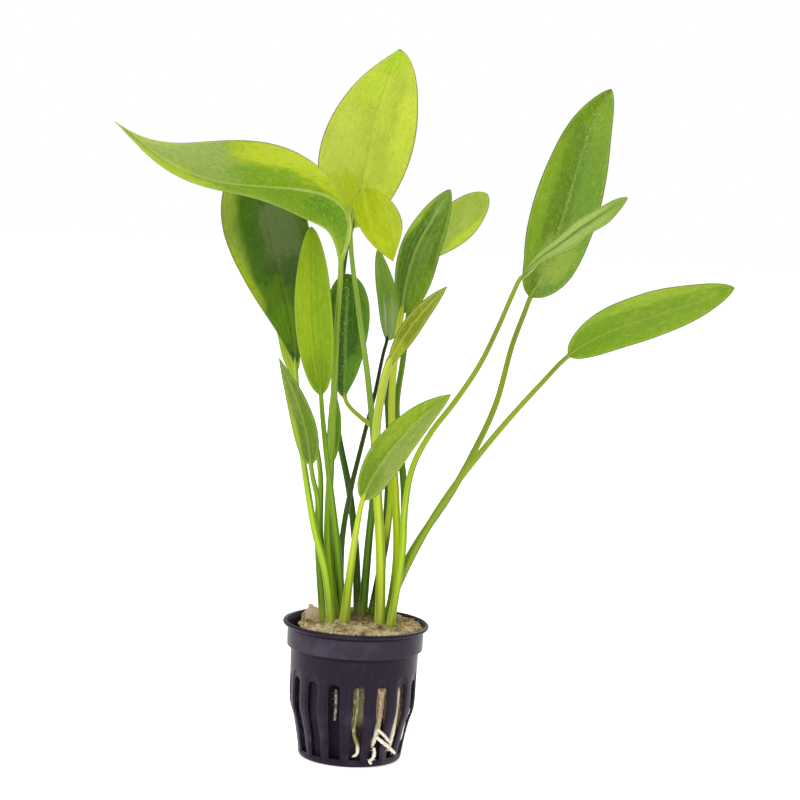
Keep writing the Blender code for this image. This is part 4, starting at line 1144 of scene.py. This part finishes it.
leaf_random = random.Random(3)
for leaf_name, leaf in LEAVES.items():
    stalk_path, blade_path = leaf_paths(leaf)
    make_stalk(leaf_name, leaf, stalk_path, blade_path)
    make_blade(leaf_name, leaf, blade_path, leaf_random)


# Floor, light and camera
# A white sheet under soft light from all round, with a broad lamp over the left shoulder and one
# behind that shines through the leaves. The camera stands a metre off, about as high as the
# highest leaves, and looks down a little.
LOOK_AT = (12.2, 0, 136.4)
DISTANCE = 1000
ELEVATION = 6.9
ROLL = 3.0
FOCAL_PIXELS = 2680
PICTURE_PIXELS = 800
FLOOR_SIZE = 6000
FLOOR_WHITE = (0.90, 0.90, 0.90, 1.0)
FLOOR_PALE = (0.94, 0.94, 0.94, 1.0)
FLOOR_GLOW = 0.56
SKY_SHARE = 0.6                 # how bright the sky is as light, where the camera sees white


def make_floor():
    """One wide sheet, which glows a little so that it shows white to its edge."""
    bm = bmesh.new()
    bmesh.ops.create_grid(bm, x_segments=1, y_segments=1, size=FLOOR_SIZE / 2)
    made, place = new_material("floor_white", {"Roughness": 0.9, "Specular IOR Level": 0.2,
                                               "Emission Color": (1.0, 1.0, 1.0, 1.0),
                                               "Emission Strength": FLOOR_GLOW})
    place.noise(0.5, 1.0).pick(FLOOR_WHITE, FLOOR_PALE).drive("Base Color")
    place_mesh("floor", bm, made)


def add_lamp(name, place, size, power):
    """A square soft box at that place, in metres, aimed at the middle of the plant."""
    light = bpy.data.lights.new(name, "AREA")
    light.size = size
    light.energy = power
    lamp = bpy.data.objects.new(name, light)
    lamp.location = place
    aim = Vector(LOOK_AT) * MM - Vector(place)
    lamp.rotation_euler = aim.to_track_quat("-Z", "Y").to_euler()
    bpy.context.collection.objects.link(lamp)


def make_camera():
    """The camera, turned about its line of sight as the picture is."""
    tilt, roll = math.radians(ELEVATION), math.radians(ROLL)
    back = Vector((0, -math.cos(tilt), math.sin(tilt)))
    level, up = Vector((1, 0, 0)), Vector((0, math.sin(tilt), math.cos(tilt)))
    right = math.cos(roll) * level + math.sin(roll) * up
    above = math.cos(roll) * up - math.sin(roll) * level
    data = bpy.data.cameras.new("camera")
    data.lens = data.sensor_width * FOCAL_PIXELS / PICTURE_PIXELS
    data.clip_start = 0.01
    camera = bpy.data.objects.new("camera", data)
    place = (Vector(LOOK_AT) + DISTANCE * back) * MM
    turn = Matrix((right, above, back)).transposed().to_4x4()
    camera.matrix_world = Matrix.Translation(place) @ turn
    bpy.context.collection.objects.link(camera)
    bpy.context.scene.camera = camera


make_floor()
add_lamp("key_lamp", (-0.7, -0.9, 1.1), 0.8, 9.0)
add_lamp("back_lamp", (0.5, 1.0, 0.9), 0.8, 10.0)
world = bpy.data.worlds.new("studio")
world.use_nodes = True
sky = world.node_tree.nodes["Background"]
sky.inputs["Color"].default_value = (1.0, 1.0, 1.0, 1.0)
seen = Tone(world.node_tree, sky.outputs[0]).node("LightPath", {}, {}, "Is Camera Ray")
world.node_tree.links.new((seen * (1 - SKY_SHARE) + SKY_SHARE).socket, sky.inputs["Strength"])
bpy.context.scene.world = world
bpy.context.scene.view_settings.view_transform = "Standard"
make_camera()
